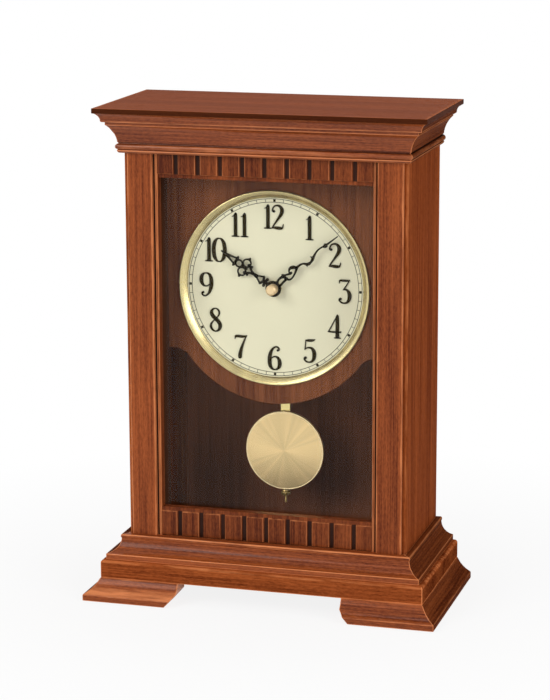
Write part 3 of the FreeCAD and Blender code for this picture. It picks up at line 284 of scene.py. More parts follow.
def softened(steps, softness=None, spacing=None):
    """A closed section and its edge mark, from straight steps (2 numbers) and arcs (middle and end).
    The line is sampled at even spacing and blurred with a bell curve along its own length, so that
    every corner is sanded round; the mark is the turning of the line, +1 on edges and -1 in corners."""
    wood = bpy.context.scene.clock_wood
    softness = softness or wood.softness / MM
    line = [np.array([steps[0]], float)]
    for step in steps[1:]:
        if len(step) == 4:
            line.append(arc_through(line[-1][-1], step[:2], step[2:], ARC_POINTS)[1:])
        else:
            line.append(np.array([step], float))
    section, length = closed_even(np.concatenate(line), spacing=spacing or wood.step / MM)
    wave = np.fft.fftfreq(len(section), length / len(section))[:, None]

    def blurred(values, width):
        """Values round the line, each spread over its neighbours by a bell curve."""
        bell = np.exp(-2 * (math.pi * wave * width) ** 2)
        return np.fft.ifft(np.fft.fft(values, axis=0) * bell, axis=0).real

    section = blurred(section, softness)
    ahead = np.roll(section, -1, 0) - section
    behind = section - np.roll(section, 1, 0)
    turning = np.cross(behind, ahead) / (np.linalg.norm(ahead, axis=1) * np.linalg.norm(behind, axis=1))
    area = np.sum(np.cross(section, np.roll(section, -1, 0)))
    turning = (np.sign(area) * turning / (length / len(section)))[:, None]
    edge = blurred(turning, EDGE_WIDTH * softness)[:, 0] * softness * EDGE_GAIN
    corner = blurred(turning, HOLLOW_WIDTH * softness)[:, 0] * softness * HOLLOW_GAIN
    return section, np.clip(np.where(edge > LEAST_EDGE, edge, np.minimum(corner, 0)), -1, 1)


def end_stations(length, ends):
    """Stations along a run: its middle, and some close together at both ends."""
    ends = np.array(ends)
    return np.concatenate([ends, [length / 2], (length - ends)[::-1]])


def near_ends(stations, length, reach):
    """A bell curve at each end of a run: 1 at the end, fading over the reach."""
    return np.exp(-((np.minimum(stations, length - stations) / reach) ** 2))


def end_marks(stations, length, mark):
    """The edge mark of a section along a run, raised at the worn ends, which also paints a highlight."""
    worn = END_WORN * near_ends(stations, length, END_WEAR)[:, None]
    return np.where(worn > LEAST_WORN, np.maximum(mark, worn), mark)


COLOUR, NUMBER, VECTOR = "NodeSocketColor", "NodeSocketFloat", "NodeSocketVector"
# The layers of the grain: how far each is drawn out along Z, then scale, detail, roughness, distortion.
GRAIN_LAYERS = ((0.06, 45, 2, 0.5, 0.5), (0.018, 480, 5, 0.68, 0), (0.30, 1000, 2, 0.6, 0),
                (0.10, 1700, 2, 0.5, 0))
# The shares of the first three layers in the tone of the wood, and the tone that they average.
FIGURE_SHARE, FIBRE_SHARE, MOTTLE_SHARE = 0.40, 0.60, 0.25
MEAN_TONE = 0.625
# How much duller a pore and how much glossier a fibre is, and the grain's relief and its depth in metres.
PORE_DULL, FIBRE_GLOSS = 0.10, 0.05
GRAIN_RELIEF, GRAIN_DEPTH = 0.28, 0.00025
GRAIN_TURNS = {"X": (0, math.pi / 2, 0), "Y": (math.pi / 2, 0, 0), "Z": (0, 0, 0)}
# What wood_material is given for each wood. The grain runs along Z where nothing else is said.
# Each shade makes a lighter or darker copy of one stain, set part by part to how light the part looks where
# the light falls: painted light and shade.
WOODS = {
    "wood_up": dict(contrast=1.2),
    "wood_crown": dict(along="X", shade=0.96, wear=0.8, contrast=1.2, shine=0, coat=0.5, coat_rough=0.13),
    "wood_across": dict(along="X", shade=1.01, contrast=1.3, shine=0, coat=0.32, coat_rough=0.15),
    "wood_base": dict(along="X", shade=1.07, contrast=1.3, shine=0, coat=0),
    # The runs along the sides are about half as light as the front: painted shade.
    "wood_deep": dict(along="Y", shade=0.55, contrast=1.3, shine=0.001, coat=0),
    "wood_side": dict(shade=1.04, contrast=0.9, shine=0.0005, coat=0, grain_scale=0.8),
    "wood_top": dict(along="X", shade=0.87, contrast=0.5, gloss=0.60, wear=0.35, shine=0.02, coat=0),
    "wood_rail": dict(shade=0.74, contrast=1.3),
    "wood_stile": dict(shade=0.82, contrast=1.2),
    "wood_board": dict(tint=((0.086, 0.020, 0.0065), (0.262, 0.082, 0.028)), contrast=1.1, gloss=0.55,
                       wear=0, coat=0),
    # The glass strips are stained much darker than the rest, for the shade inside the case: painted shade.
    "wood_lining": dict(tint=((0.034, 0.013, 0.007), (0.098, 0.036, 0.018)), contrast=0.7, gloss=0.6,
                        wear=0, shine=0.02, coat=0),
    "wood_panel": dict(tint=((0.143, 0.046, 0.020), (0.372, 0.130, 0.059)), contrast=0.7, gloss=0.6,
                       wear=0, shine=0.05, coat=0),
}
# Moulded and cast stuff: colour, roughness, metal, speckle, scale of the speckle, relief and coat.
PLAINS = {
    "case_plastic": ((0.030, 0.031, 0.033), 0.48, 0, 0.18, 1100, 0.25),
    "gear_plastic": ((0.70, 0.68, 0.60), 0.4, 0, 0.05, 900, 0.05),
    "steel": ((0.55, 0.55, 0.54), 0.32, 1, 0.10, 1500, 0.10),
    "spring_steel": ((0.62, 0.60, 0.56), 0.24, 1, 0.08, 1500, 0.08),
    "rubber": ((0.020, 0.020, 0.020), 0.72, 0, 0.2, 700, 0.3),
    "circuit_board": ((0.020, 0.110, 0.045), 0.42, 0, 0.25, 500, 0.1),
    "cell_wrap": ((0.050, 0.052, 0.058), 0.28, 0, 0.1, 400, 0.05, 0.3),
    "speaker_grey": ((0.070, 0.070, 0.072), 0.55, 0, 0.2, 800, 0.3),
}


def add(tree, kind, inputs=None, **settings):
    """A node with its settings made first, then its inputs linked or set."""
    made = tree.nodes.new(kind)
    for key, value in settings.items():
        setattr(made, key, value)
    for key, value in (inputs or {}).items():
        if isinstance(value, bpy.types.NodeSocket):
            tree.links.new(value, made.inputs[key])
        else:
            made.inputs[key].default_value = value
    return made


def mixed(tree, factor, first, second):
    """The colour between two colours."""
    return add(tree, "ShaderNodeMix", {0: factor, 6: first, 7: second}, data_type="RGBA").outputs[2]


def worked(tree, operation, *values):
    """One step of arithmetic."""
    return add(tree, "ShaderNodeMath", dict(enumerate(values)), operation=operation).outputs[0]


def plus(tree, first, second):
    """The sum of two values."""
    return worked(tree, "ADD", first, second)


def minus(tree, first, second):
    """What is left of the first value without the second."""
    return worked(tree, "SUBTRACT", first, second)


def times(tree, first, second):
    """The product of two values."""
    return worked(tree, "MULTIPLY", first, second)


def ranged(tree, value, low, high, to_low=0.0, to_high=1.0):
    """A value stretched from one range to another, and held there."""
    return add(tree, "ShaderNodeMapRange", {0: value, 1: low, 2: high, 3: to_low, 4: to_high}).outputs[0]


def noise(tree, vector, scale, detail, rough, distort=0.0):
    """Cloudy noise on a vector."""
    return add(tree, "ShaderNodeTexNoise", {"Vector": vector, "Scale": scale, "Detail": detail,
                                            "Roughness": rough, "Distortion": distort}).outputs[0]


def stretched(tree, vector, amounts):
    """A vector with each of its parts multiplied."""
    return add(tree, "ShaderNodeVectorMath", {0: vector, 1: amounts}, operation="MULTIPLY").outputs[0]


def colour(values, share=1.0):
    """A colour with its alpha, made darker or lighter by a share."""
    return tuple(min(value * share, 1.0) for value in values) + (1.0,)


def shader_group(name, inputs, outputs):
    """An empty node group with named sockets; returns the group, what it is given and its output node."""
    group = bpy.data.node_groups.new(name, "ShaderNodeTree")
    for way, sockets in (("INPUT", inputs), ("OUTPUT", outputs)):
        for socket, kind in sockets.items():
            group.interface.new_socket(socket, in_out=way, socket_type=kind)
    given, result = group.nodes.new("NodeGroupInput"), group.nodes.new("NodeGroupOutput")
    return group, [given.outputs[socket] for socket in inputs], result


def linked(tree, node, values):
    """Links values to a node's inputs by their names."""
    for key, value in values.items():
        tree.links.new(value, node.inputs[key])


def fixed(shader, values):
    """Sets what is the same all over a surface on the shader's own inputs."""
    for key, value in values.items():
        shader.inputs[key].default_value = value


def from_group(tree, name, inputs):
    """The outputs of one of the shared groups, placed in a material with its own values."""
    return add(tree, "ShaderNodeGroup", inputs, node_tree=bpy.data.node_groups[name]).outputs


def relief(tree, height, strength, depth):
    """The normal of a surface with a fine relief; depth is in metres."""
    return add(tree, "ShaderNodeBump",
               {"Height": height, "Strength": strength, "Distance": depth}).outputs[0]


def edge_mark(tree):
    """The edge mark that a piece carries on its points."""
    return add(tree, "ShaderNodeAttribute", attribute_name="edge_mark").outputs["Fac"]


def grain_group():
    """Straight-grained wood with its grain along Z: a figure, fine fibres, a mottle and dark pores."""
    group, (vector, dark, light, contrast), result = shader_group(
        "wood_grain", {"Vector": VECTOR, "Dark": COLOUR, "Light": COLOUR, "Contrast": NUMBER},
        {"Color": COLOUR, "Height": NUMBER})
    figure, fibres, mottle, specks = (
        noise(group, stretched(group, vector, (1, 1, drawn)), *layer) for drawn, *layer in GRAIN_LAYERS)
    pores = ranged(group, specks, 0.56, 0.72)
    tone = plus(group, times(group, figure, FIGURE_SHARE), times(group, fibres, FIBRE_SHARE))
    tone = plus(group, tone, times(group, mottle, MOTTLE_SHARE))
    tone = plus(group, times(group, minus(group, tone, MEAN_TONE), contrast), 0.5)
    shade = mixed(group, ranged(group, tone, 0.34, 0.66), dark, light)
    shade = mixed(group, times(group, pores, 0.55), shade, dark)
    height = minus(group, times(group, fibres, 0.4), times(group, pores, 0.8))
    linked(group, result, {"Color": shade, "Height": height})


def wear_group():
    """Rubbed edges and filled hollows, from the edge mark and a little noise that breaks it up. The
    rubbed edges also paint a highlight, and where the mark is below zero it is stain and painted shade.
    """
    group, (shown, mark, bare, filled, vector), result = shader_group(
        "edge_wear", {"Color": COLOUR, "Mark": NUMBER, "Worn": COLOUR, "Hollow": COLOUR, "Vector": VECTOR},
        {"Color": COLOUR})
    patchy = noise(group, stretched(group, vector, (1, 1, 0.12)), 260, 3, 0.6)
    broken = plus(group, mark, times(group, minus(group, patchy, 0.5), 0.9))
    # Rubbed stain on an edge, which also paints the highlight that the edge catches.
    worn = times(group, ranged(group, broken, 0.20, 0.56, 0.0, 0.92), ranged(group, mark, 0.04, 0.20))
    # Below zero: stain gathered in hollows and end grain, and painted shade.
    sunk = ranged(group, times(group, mark, -1.0), 0.03, 0.40, 0.0, 0.90)
    linked(group, result, {"Color": mixed(group, sunk, mixed(group, worn, shown, bare), filled)})


def brushed_group():
    """Fine turning marks round the Y axis through a centre. Fans of tone cross them, painted highlights and
    reflections: a wide pair that is light along X and dark along Z, the cosine of twice the angle, and
    narrow ones from noise on it."""
    group, (vector, fineness, fans), result = shader_group(
        "turned_brush", {"Vector": VECTOR, "Fineness": NUMBER, "Fans": NUMBER},
        {"Rings": NUMBER, "Fan": NUMBER})
    x, y, z = add(group, "ShaderNodeSeparateXYZ", {0: vector}).outputs
    radius = worked(group, "SQRT", plus(group, times(group, x, x), times(group, z, z)))
    angle = worked(group, "ARCTAN2", z, x)
    ring_place = add(group, "ShaderNodeCombineXYZ", {0: radius, 1: times(group, angle, 0.0004), 2: y})
    rings = noise(group, ring_place.outputs[0], fineness, 3, 0.6)
    double = times(group, angle, 2.0)
    wide = worked(group, "COSINE", double)
    fan_place = add(group, "ShaderNodeCombineXYZ", {0: wide, 1: worked(group, "SINE", double), 2: 0.0})
    narrow = noise(group, fan_place.outputs[0], times(group, fans, 1.7), 4, 0.62)
    linked(group, result, {"Rings": rings, "Fan": plus(group, times(group, wide, 0.10), narrow)})


def new_material(name):
    """A material with a Principled shader on its output; returns it, its tree, its shader and Object
    coordinates."""
    material = bpy.data.materials.new(name)
    material.use_nodes = True
    tree = material.node_tree
    place = add(tree, "ShaderNodeTexCoord").outputs["Object"]
    return material, tree, tree.nodes["Principled BSDF"], place


def wood_material(name, along="Z", shade=1.0, contrast=1.0, gloss=0.46, tint=None, wear=1.0, shine=0.10,
                  coat=0.06, coat_rough=0.28, grain_scale=1.0):
    """Stained and lacquered wood whose grain runs along X, Y or Z. Its tint is a dark and a light stain,
    and a pore is duller than a fibre."""
    wood = bpy.context.scene.clock_wood
    material, tree, shader, place = new_material(name)
    grain_place = add(tree, "ShaderNodeMapping", {"Vector": place, "Rotation": GRAIN_TURNS[along],
                                                  "Scale": (grain_scale,) * 3}).outputs[0]
    dark, light = tint or (wood.dark_stain, wood.light_stain)
    grain = from_group(tree, "wood_grain", {"Vector": grain_place, "Dark": colour(dark, shade),
                                            "Light": colour(light, shade), "Contrast": contrast})
    shown = grain["Color"]
    # Paler worn edges, which also paint highlights, and darker hollows: stain with painted shade.
    if wear:
        wear_and_highlight = [stain + (worn - stain) * wear for stain, worn in zip(wood.light_stain, wood.worn_edge)]
        shown = from_group(tree, "edge_wear", {
            "Color": shown, "Mark": edge_mark(tree), "Vector": grain_place, "Worn": colour(wear_and_highlight, shade),
            "Hollow": colour(wood.hollow, shade)})["Color"]
    linked(tree, shader, {
        "Base Color": shown,
        "Roughness": ranged(tree, grain["Height"], -0.6, 0.35, gloss + PORE_DULL, gloss - FIBRE_GLOSS),
        "Normal": relief(tree, grain["Height"], GRAIN_RELIEF, GRAIN_DEPTH)})
    fixed(shader, {"Specular IOR Level": shine, "Coat Weight": coat, "Coat Roughness": coat_rough})
    return material


def plain_material(name, base, rough, metal, speckle, scale, bump, coat=0.0, shine=0.5):
    """Moulded, cast or printed stuff: a base colour with fine speckle, uneven gloss and a light texture."""
    material, tree, shader, place = new_material(name)
    fine = noise(tree, place, scale, 3, 0.6)
    broad = noise(tree, place, scale / 22, 2, 0.5)
    tone = plus(tree, times(tree, fine, 0.6), times(tree, broad, 0.4))
    linked(tree, shader, {
        "Base Color": mixed(tree, ranged(tree, tone, 0.35, 0.65), colour(base, 1 - speckle),
                            colour(base, 1 + speckle)),
        "Roughness": ranged(tree, tone, 0.3, 0.7, rough - 0.06, rough + 0.06),
        "Normal": relief(tree, fine, bump, 0.0002)})
    fixed(shader, {"Metallic": metal, "Specular IOR Level": shine, "Coat Weight": coat})
    return material


def brass_material(name, base, centre, rough, fans, fineness, fan_highlight, twist=0.0, metal=1.0, edge=0.0):
    """Satin brass, turned or brushed round a centre: rings in its gloss, fans of painted highlight and
    reflection in its tone, and polished edges, painted lighter as a highlight, where the edge mark is given."""
    material, tree, shader, place = new_material(name)
    from_centre = tuple(-value * MM for value in centre)
    shift = add(tree, "ShaderNodeMapping", {"Vector": place, "Location": from_centre})
    turned_place = add(tree, "ShaderNodeMapping", {"Vector": shift.outputs[0], "Rotation": (0, twist, 0)})
    brush = from_group(tree, "turned_brush", {"Vector": turned_place.outputs[0], "Fineness": fineness,
                                              "Fans": fans})
    rings = brush["Rings"]
    # The fans paint highlights and reflections into the colour.
    low = colour(base, 1 - fan_highlight)
    shade = mixed(tree, ranged(tree, brush["Fan"], 0.36, 0.64), low, colour(base, 1 + fan_highlight))
    shade = mixed(tree, ranged(tree, rings, 0.3, 0.8, 0.0, 0.18), shade, low)
    roughness = ranged(tree, rings, 0.3, 0.7, rough - 0.05, rough + 0.07)
    if edge:
        # A polished edge: smoother, and painted lighter as a highlight.
        polished_highlight = ranged(tree, edge_mark(tree), 0.10, 0.35, 0.0, edge)
        shade = mixed(tree, polished_highlight, shade, colour([value * 1.12 + 0.09 for value in base]))
        roughness = minus(tree, roughness, times(tree, polished_highlight, 0.5 * rough))
    linked(tree, shader, {"Base Color": shade, "Roughness": roughness,
                          "Normal": relief(tree, rings, 0.10, 0.0001)})
    fixed(shader, {"Metallic": metal})
    return material


def glass_material():
    """Clear glass that lets lamp light, and light that a surface has scattered, through without
    bending it."""
    material, tree, shader, place = new_material("clear_glass")
    dust = noise(tree, place, 40, 4, 0.6)
    linked(tree, shader, {"Base Color": mixed(tree, dust, (0.96, 0.98, 0.97, 1), (0.99, 0.995, 0.99, 1))})
    fixed(shader, {"Roughness": 0.0, "Transmission Weight": 1.0, "IOR": 1.18})
    path = add(tree, "ShaderNodeLightPath")
    clear = add(tree, "ShaderNodeBsdfTransparent", {"Color": (0.96, 0.97, 0.96, 1)})
    straight = worked(tree, "MAXIMUM", path.outputs["Is Shadow Ray"],
                      worked(tree, "GREATER_THAN", path.outputs["Diffuse Depth"], 0.5))
    mix = add(tree, "ShaderNodeMixShader", {0: straight, 1: shader.outputs[0], 2: clear.outputs[0]})
    linked(tree, tree.nodes["Material Output"], {"Surface": mix.outputs[0]})
    return material


def make_materials():
    """All the finishes of the clock, by name."""
    dial = bpy.context.scene.clock_dial
    metal = bpy.context.scene.clock_metal
    grain_group()
    wear_group()
    brushed_group()
    dial_place = (0, 0, DIAL_CENTRE)
    bob = edges("pendulum_bob")
    bob_place = (0, 0, (bob.z0 + bob.z1) / 2)
    brasses = {
        "brass_bezel": (colour(metal.brass, 0.86)[:3], dial_place, 0.25, 0.8, 1500, 0.20, 0, 0.85),
        "brass_bob": (metal.bob_brass, bob_place, 0.46, 0.9, 2600, 0.13, 0.15, 0.7, 0.9),
        "brass_part": (metal.brass, dial_place, 0.24, 0.5, 900, 0.08),
        "brass_dark": ((0.42, 0.28, 0.09), bob_place, 0.24, 0.5, 900, 0.08, 0, 0.6),
        "brass_cap": ((0.80, 0.59, 0.34), dial_place, 0.5, 0.5, 1800, 0.05, 0, 0.45),
        "brass_strip": ((0.84, 0.69, 0.30), dial_place, 0.30, 0.5, 900, 0.04),
    }
    printed = {
        "dial_paint": (dial.paint, 0.50, 0, 0.012, 1400, 0.05, 0, 0.2),
        "ink": (dial.ink, 0.5, 0, 0.15, 1600, 0.05, 0, 0.03),
        "hand_black": ((0.014, 0.010, 0.003), 0.5, 0, 0.2, 1200, 0.08, 0, 0.04),
    }
    made = {name: wood_material(name, **given) for name, given in WOODS.items()}
    made.update({name: brass_material(name, *given) for name, given in brasses.items()})
    made.update({name: plain_material(name, *given) for name, given in (printed | PLAINS).items()})
    made["glass"] = glass_material()
    return made


finishes = {}

# The innermost reach of a board that lies flat: its outline has nearly closed there.
SLAB_CORE = 1 - HALF_CASE
# How far a moulding's face draws in at its ends, and over what length, in millimetres.
END_INSET = 0.22
END_ROUND = 0.16
# The reach inside which a moulding is hidden behind the case and keeps its full length.
HIDDEN_REACH = 1
# Heights between which the quirk over the crown's bead is darkened with painted shade, and the mark of it.
CROWN_QUIRK = (6.7, 8.5)
QUIRK_SHADE = -0.24
# Reach and height of the feet where their upper side is painted paler as a highlight, and how pale
# the left foot, which takes the light, and the right one are.
SHEEN_FROM = 18.5
SHEEN_OVER = 7.0
SHEEN_ABOVE = 4.6
SHEEN_RISE = 0.6
FOOT_SHEEN = {"left": 0.52, "right": 0.15}
# Marks on the edge of the top board and the inner faces of the sides, both painted shade, and on the
# ends of the base board.
TOP_EDGE_SHADE = -0.34
INNER_FACE_SHADE = -0.26
END_GRAIN_STAIN = 0.16
# The upright head of a bracket foot's inner end, and how far the end slopes in below it.
FOOT_NECK = 7.2
FOOT_SLOPE = 8.0
# A board that lies flat: what its profile leaves open round the core, then the radius, steps and wear of
# its front corners, wear that also paints a highlight, and how fast that wear fades inwards.
CORE_MARGIN = 1.5
CORNER_RADIUS = 0.8
CORNER_STEPS = 9
CORNER_WORN, CORNER_FADE = 0.8, 1.5
# The band of an upright edge that takes its own painted shade, how softly the band ends, the paler band
# beside it on the top face and its fading, and how deep end grain soaks.
EDGE_BAND, EDGE_BLUR = 0.35, 0.2
TOP_PALE, TOP_FADE = 0.55, 3.0
SOAK_DEPTH = 0.5
# What still counts as being on a face, and how much smaller an upright board is at its very ends.
ON_FACE = 0.3
END_SHRINK, SHRINK_REACH = 0.02, 0.15
# The rails: their lip and the height of its band, the softness of the raised face's ends, and what the
# two blocks at the ends of a rail have beyond the even pitch, in pitches.
RAIL_LIP = 1.8
RAIL_BAND = 2.9
FACE_SOFTNESS = 0.28
END_BLOCKS = 0.65
# Their grooves: count, depth, half width and softness of the walls, then the depth, place, width and
# least distance of the bevel at a groove's mouth.
GROOVES = 9
GROOVE_DEPTH, GROOVE_HALF, WALL_SOFTNESS = 1.9, 1.78, 0.16
BEVEL_DEPTH, BEVEL_PLACE, BEVEL_WIDTH, BEVEL_FROM = 0.45, 2.0, 0.32, 1.7
# Wear on a rail's edges, which also paints a highlight along them: its mark and width, its distance
# from a groove's middle and from the end of the face. Then the painted shade in a groove: its mark,
# reach and softness.
RAIL_WORN, RAIL_WEAR, WORN_FROM_GROOVE, WORN_FROM_END = 0.42, 0.42, 2.25, 0.15
GROOVE_SHADE, GROOVE_SHADE_REACH, GROOVE_SHADE_SOFTNESS = 0.55, 1.5, 0.25
# Even steps along a rail and up its face, and the least step between two points.
RAIL_STEPS, FACE_STEPS, LEAST_STEP = 41, 7, 0.04
# Points across a groove and over the end of a rail's raised face, from their middle.
GROOVE_POINTS = np.array([-3.6, -2.9, -2.5, -2.25, -2.05, -1.85, -1.72, -1.6, -1.2, 0, 1.2, 1.6, 1.72, 1.85,
                          2.05, 2.25, 2.5, 2.9, 3.6])
FACE_POINTS = np.array([-2.4, -1.5, -0.9, -0.55, -0.3, -0.1, 0.1, 0.3, 0.55, 0.9, 1.5, 2.4])


def crown_steps(inner):
    """Crown section from the sole up: band, bead, large cove, fillet, nose and small cove."""
    return [(inner, 0), (2.2, 0), (3.3, 1.4), (3.3, 2.3), (2.7, 2.5), (2.7, 2.8), (3.5, 3.0),
            (4.45, 4.9, 3.1, 6.9), (2.3, 7.2), (2.3, 7.7), (3.0, 7.9), (5.4, 15.9, 9.7, 21.4), (10.1, 21.4),
            (10.1, 23.9), (12.2, 23.9), (12.9, 24.9, 12.9, 25.6), (13.9, 28.2, 17.0, 30.9), (inner, 30.9)]


def base_steps(inner):
    """Base moulding section from the base board up: step, cove, bevel and ledge."""
    return [(inner, 0), (14.1, 0), (14.1, 4.4), (13.7, 4.4), (7.4, 7.8, 4.5, 15.3), (5.0, 15.8),
            (5.0, 17.6), (4.4, 18.2), (inner, 18.2)]


def foot_steps(inner):
    """Foot section from the floor up: square edge, hollow flare and neck."""
    return [(inner, 0), (28.8, 0), (28.8, 4.7), (28.1, 5.4), (22.5, 9.5, 18.3, 15.5), (17.5, 16.3),
            (inner, 16.3)]


def kept_dark(rise, mark, shaded_band):
    """The mark with painted shade, and no wear, between two heights where nothing rubs."""
    return np.where((rise > shaded_band[0]) & (rise < shaded_band[1]), np.minimum(mark, QUIRK_SHADE), mark)


def drawn_in(reach, stations, length):
    """How far the face of a moulding draws in at each station, so that its ends are rounded."""
    return END_INSET * near_ends(stations, length, END_ROUND)[:, None] * (reach > HIDDEN_REACH)


def front_run(name, steps, low, ends=None, wear_and_highlight=0.0, shaded_band=(0, 0)):
    """A moulding across the front: the section's reach p and rise z stand at y = front - p, and each
    station slides it along x from one mitre at -(half case + p) to the other; ends may give other ends.
    A moulding may be painted paler where its upper side runs out flat: a painted highlight."""
    section, mark = softened(steps)
    reach, rise = section.T
    # The flat upper side painted paler as a highlight, and a band darkened with painted shade.
    flat = (np.clip((reach - SHEEN_FROM) / SHEEN_OVER, 0, 1)
            * np.clip((rise - SHEEN_ABOVE) / SHEEN_RISE, 0, 1))
    mark = kept_dark(rise, np.maximum(mark, wear_and_highlight * flat), shaded_band)
    outer = HALF_CASE + np.maximum(reach, 0)
    left, right = ends(outer, rise) if ends else (-outer, outer)
    length = float(np.min(right - left))
    stations = end_stations(length, RUN_ENDS)
    late = stations > length / 2
    x = left + stations[:, None]
    x[late] = right - (length - stations[late])[:, None]
    loops = grid(x, FRONT - reach + drawn_in(reach, stations, length), low + rise)
    return closed_mesh(name, *lofted(loops), end_marks(stations, length, mark))


def side_run(name, steps, low, side, shaded_band=(0, 0)):
    """A moulding along one side: the section stands at x = half case + p, and each station slides it
    along y from the mitre at front - p to the square end at the back."""
    section, mark = softened(steps)
    reach, rise = section.T
    mark = kept_dark(rise, mark, shaded_band)
    length = float(BACK - FRONT)
    stations = end_stations(length, RUN_ENDS)
    late = stations > length / 2
    y = FRONT - np.maximum(reach, 0) + stations[:, None]
    y[late] = BACK - (length - stations[late])[:, None]
    loops = grid(side * (HALF_CASE + reach - drawn_in(reach, stations, length)), y, low + rise)
    return closed_mesh(name, *lofted(loops), end_marks(stations, length, mark))


def upright_piece(name, steps, box, side=1, inner_shade=0.0):
    """A board that stands up: a section in x and y carried from its foot to its head, a little smaller
    at both. Its face that looks into the case may be darkened with painted shade."""
    section, mark = softened(steps)
    if inner_shade:
        inner_face = section[:, 0] < section[:, 0].min() + ON_FACE
        mark = np.where(inner_face, np.minimum(mark, inner_shade), mark)
    length = box.z1 - box.z0
    stations = end_stations(length, BOARD_ENDS)
    middle = section.mean(0)
    shrink = 1 - END_SHRINK * near_ends(stations, length, SHRINK_REACH)
    flat = middle + (section - middle) * shrink[:, None, None]
    loops = grid(side * flat[..., 0], flat[..., 1], (box.z0 + stations)[:, None])
    return closed_mesh(name, *lofted(loops), np.broadcast_to(mark, loops.shape[:2]))


def slab(name, profile, edge_shade=0.0, end_stain=0.0):
    """A board that lies flat: each profile step gives a reach and a height, and the loop there is the
    case's outline pushed out by the reach, with rounded corners at the front. The upright edge takes
    the edge mark edge_shade, which below zero darkens it with painted shade, and end_stain is how
    much stain the end grain at the sides drinks in."""
    section, mark = softened(profile)
    core = -int(np.argmin(section[:, 0] + section[:, 1]))
    section, mark = np.roll(section, core, 0), np.roll(mark, core, 0)
    kept = section[:, 0] > SLAB_CORE + CORE_MARGIN
    section, mark = section[kept], mark[kept]
    inside = section[:, 0].max() - section[:, 0]
    if edge_shade:
        on_edge = np.clip((EDGE_BAND - inside) / EDGE_BLUR, 0, 1)
        on_top = section[:, 1] > section[:, 1].max() - ON_FACE
        mark = mark * (1 - on_edge) + edge_shade * on_edge
        mark = np.where(on_top & (inside > EDGE_BLUR), TOP_PALE * np.exp(-inside / TOP_FADE), mark)
    angle = np.linspace(0, math.pi / 2, CORNER_STEPS)
    turn = np.stack([np.sin(angle), -np.cos(angle)], -1)
    corner_wear = 0.0 if edge_shade else CORNER_WORN
    end_grain = -end_stain * np.concatenate([np.sin(angle) ** 4, [1, 1], np.cos(angle) ** 4])
    on_corner = np.concatenate([np.sin(2 * angle), [0, 0], np.sin(2 * angle)]) * corner_wear
    loops, marks = [], []
    for reach, height, own, depth in zip(section[:, 0], section[:, 1], mark, inside):
        corner = np.array([HALF_CASE + reach - CORNER_RADIUS, FRONT - reach + CORNER_RADIUS])
        right = corner + CORNER_RADIUS * turn
        far = np.array([[HALF_CASE + reach, BACK], [-HALF_CASE - reach, BACK]])
        line = np.concatenate([right, far, (right * (-1, 1))[::-1]])
        loops.append(grid(line[:, 0], line[:, 1], height))
        worn = on_corner * math.exp(-depth / CORNER_FADE)
        soaked = own + end_grain * (own < LEAST_WORN) * (depth < SOAK_DEPTH)
        marks.append(np.where(worn > LEAST_WORN, np.maximum(own, worn), soaked))
    return closed_mesh(name, *lofted(np.array(loops)), np.array(marks))


def rail_piece(name, box, face_low, face_high):
    """A rail as a height field y(x, z): a sunk lip, a raised face with softened ends, and grooves cut
    through the face at an even pitch, each with steep walls and bevelled mouths."""
    half, low, high = edges("rail_top").x1, box.z0, box.z1
    pitch = 2 * half / (GROOVES + END_BLOCKS)
    centres = (np.arange(GROOVES) - (GROOVES - 1) / 2) * pitch
    x = np.sort(np.concatenate([[-half, half], *(centre + GROOVE_POINTS for centre in centres),
                                np.linspace(-half + 0.4, half - 0.4, RAIL_STEPS)]))
    x = x[np.concatenate([[True], np.diff(x) > LEAST_STEP])]
    z = np.concatenate([[low, high], face_low + FACE_POINTS, face_high + FACE_POINTS,
                        np.linspace(face_low + 3, face_high - 3, FACE_STEPS)])
    z = np.unique(np.clip(z, low, high))

    def rise(distance, width):
        """A smooth step from 0 to 1 over a width."""
        return 0.5 + 0.5 * np.tanh(distance / width)

    off = np.min(np.abs(x[:, None] - centres), 1)
    groove = rise(GROOVE_HALF - off, WALL_SOFTNESS)
    bevel = BEVEL_DEPTH * np.exp(-(((off - BEVEL_PLACE) / BEVEL_WIDTH) ** 2)) * (off > BEVEL_FROM)
    face = rise(z - face_low, FACE_SOFTNESS) * rise(face_high - z, FACE_SOFTNESS)
    cut = np.maximum(groove * GROOVE_DEPTH, bevel)
    y = np.minimum(FRAME_FRONT + RAIL_LIP * (1 - face) + cut[:, None] * face, FRAME_FRONT + GROOVE_DEPTH)
    back = grid(x[:, None], edges("rail_top").y1, np.array([high, low]))
    loops = np.concatenate([grid(x[:, None], y, z), back], 1)
    # Worn block edges, which also paint a highlight along them.
    worn_x = np.exp(-(((off - WORN_FROM_GROOVE) / RAIL_WEAR) ** 2))[:, None] * face
    from_end = np.minimum(np.abs(z - face_low - WORN_FROM_END), np.abs(face_high - WORN_FROM_END - z))
    worn_z = np.exp(-((from_end / RAIL_WEAR) ** 2)) * (1 - groove)[:, None]
    # The floors of the grooves darkened with painted shade.
    sunk = rise(GROOVE_SHADE_REACH - off, GROOVE_SHADE_SOFTNESS)[:, None] * face
    mark = np.maximum(worn_x, worn_z) * RAIL_WORN - GROOVE_SHADE * sunk
    mark = np.concatenate([mark, np.zeros((len(x), 2))], 1)
    return closed_mesh(name, *lofted(loops), np.clip(mark, -1, 1), angle=50)


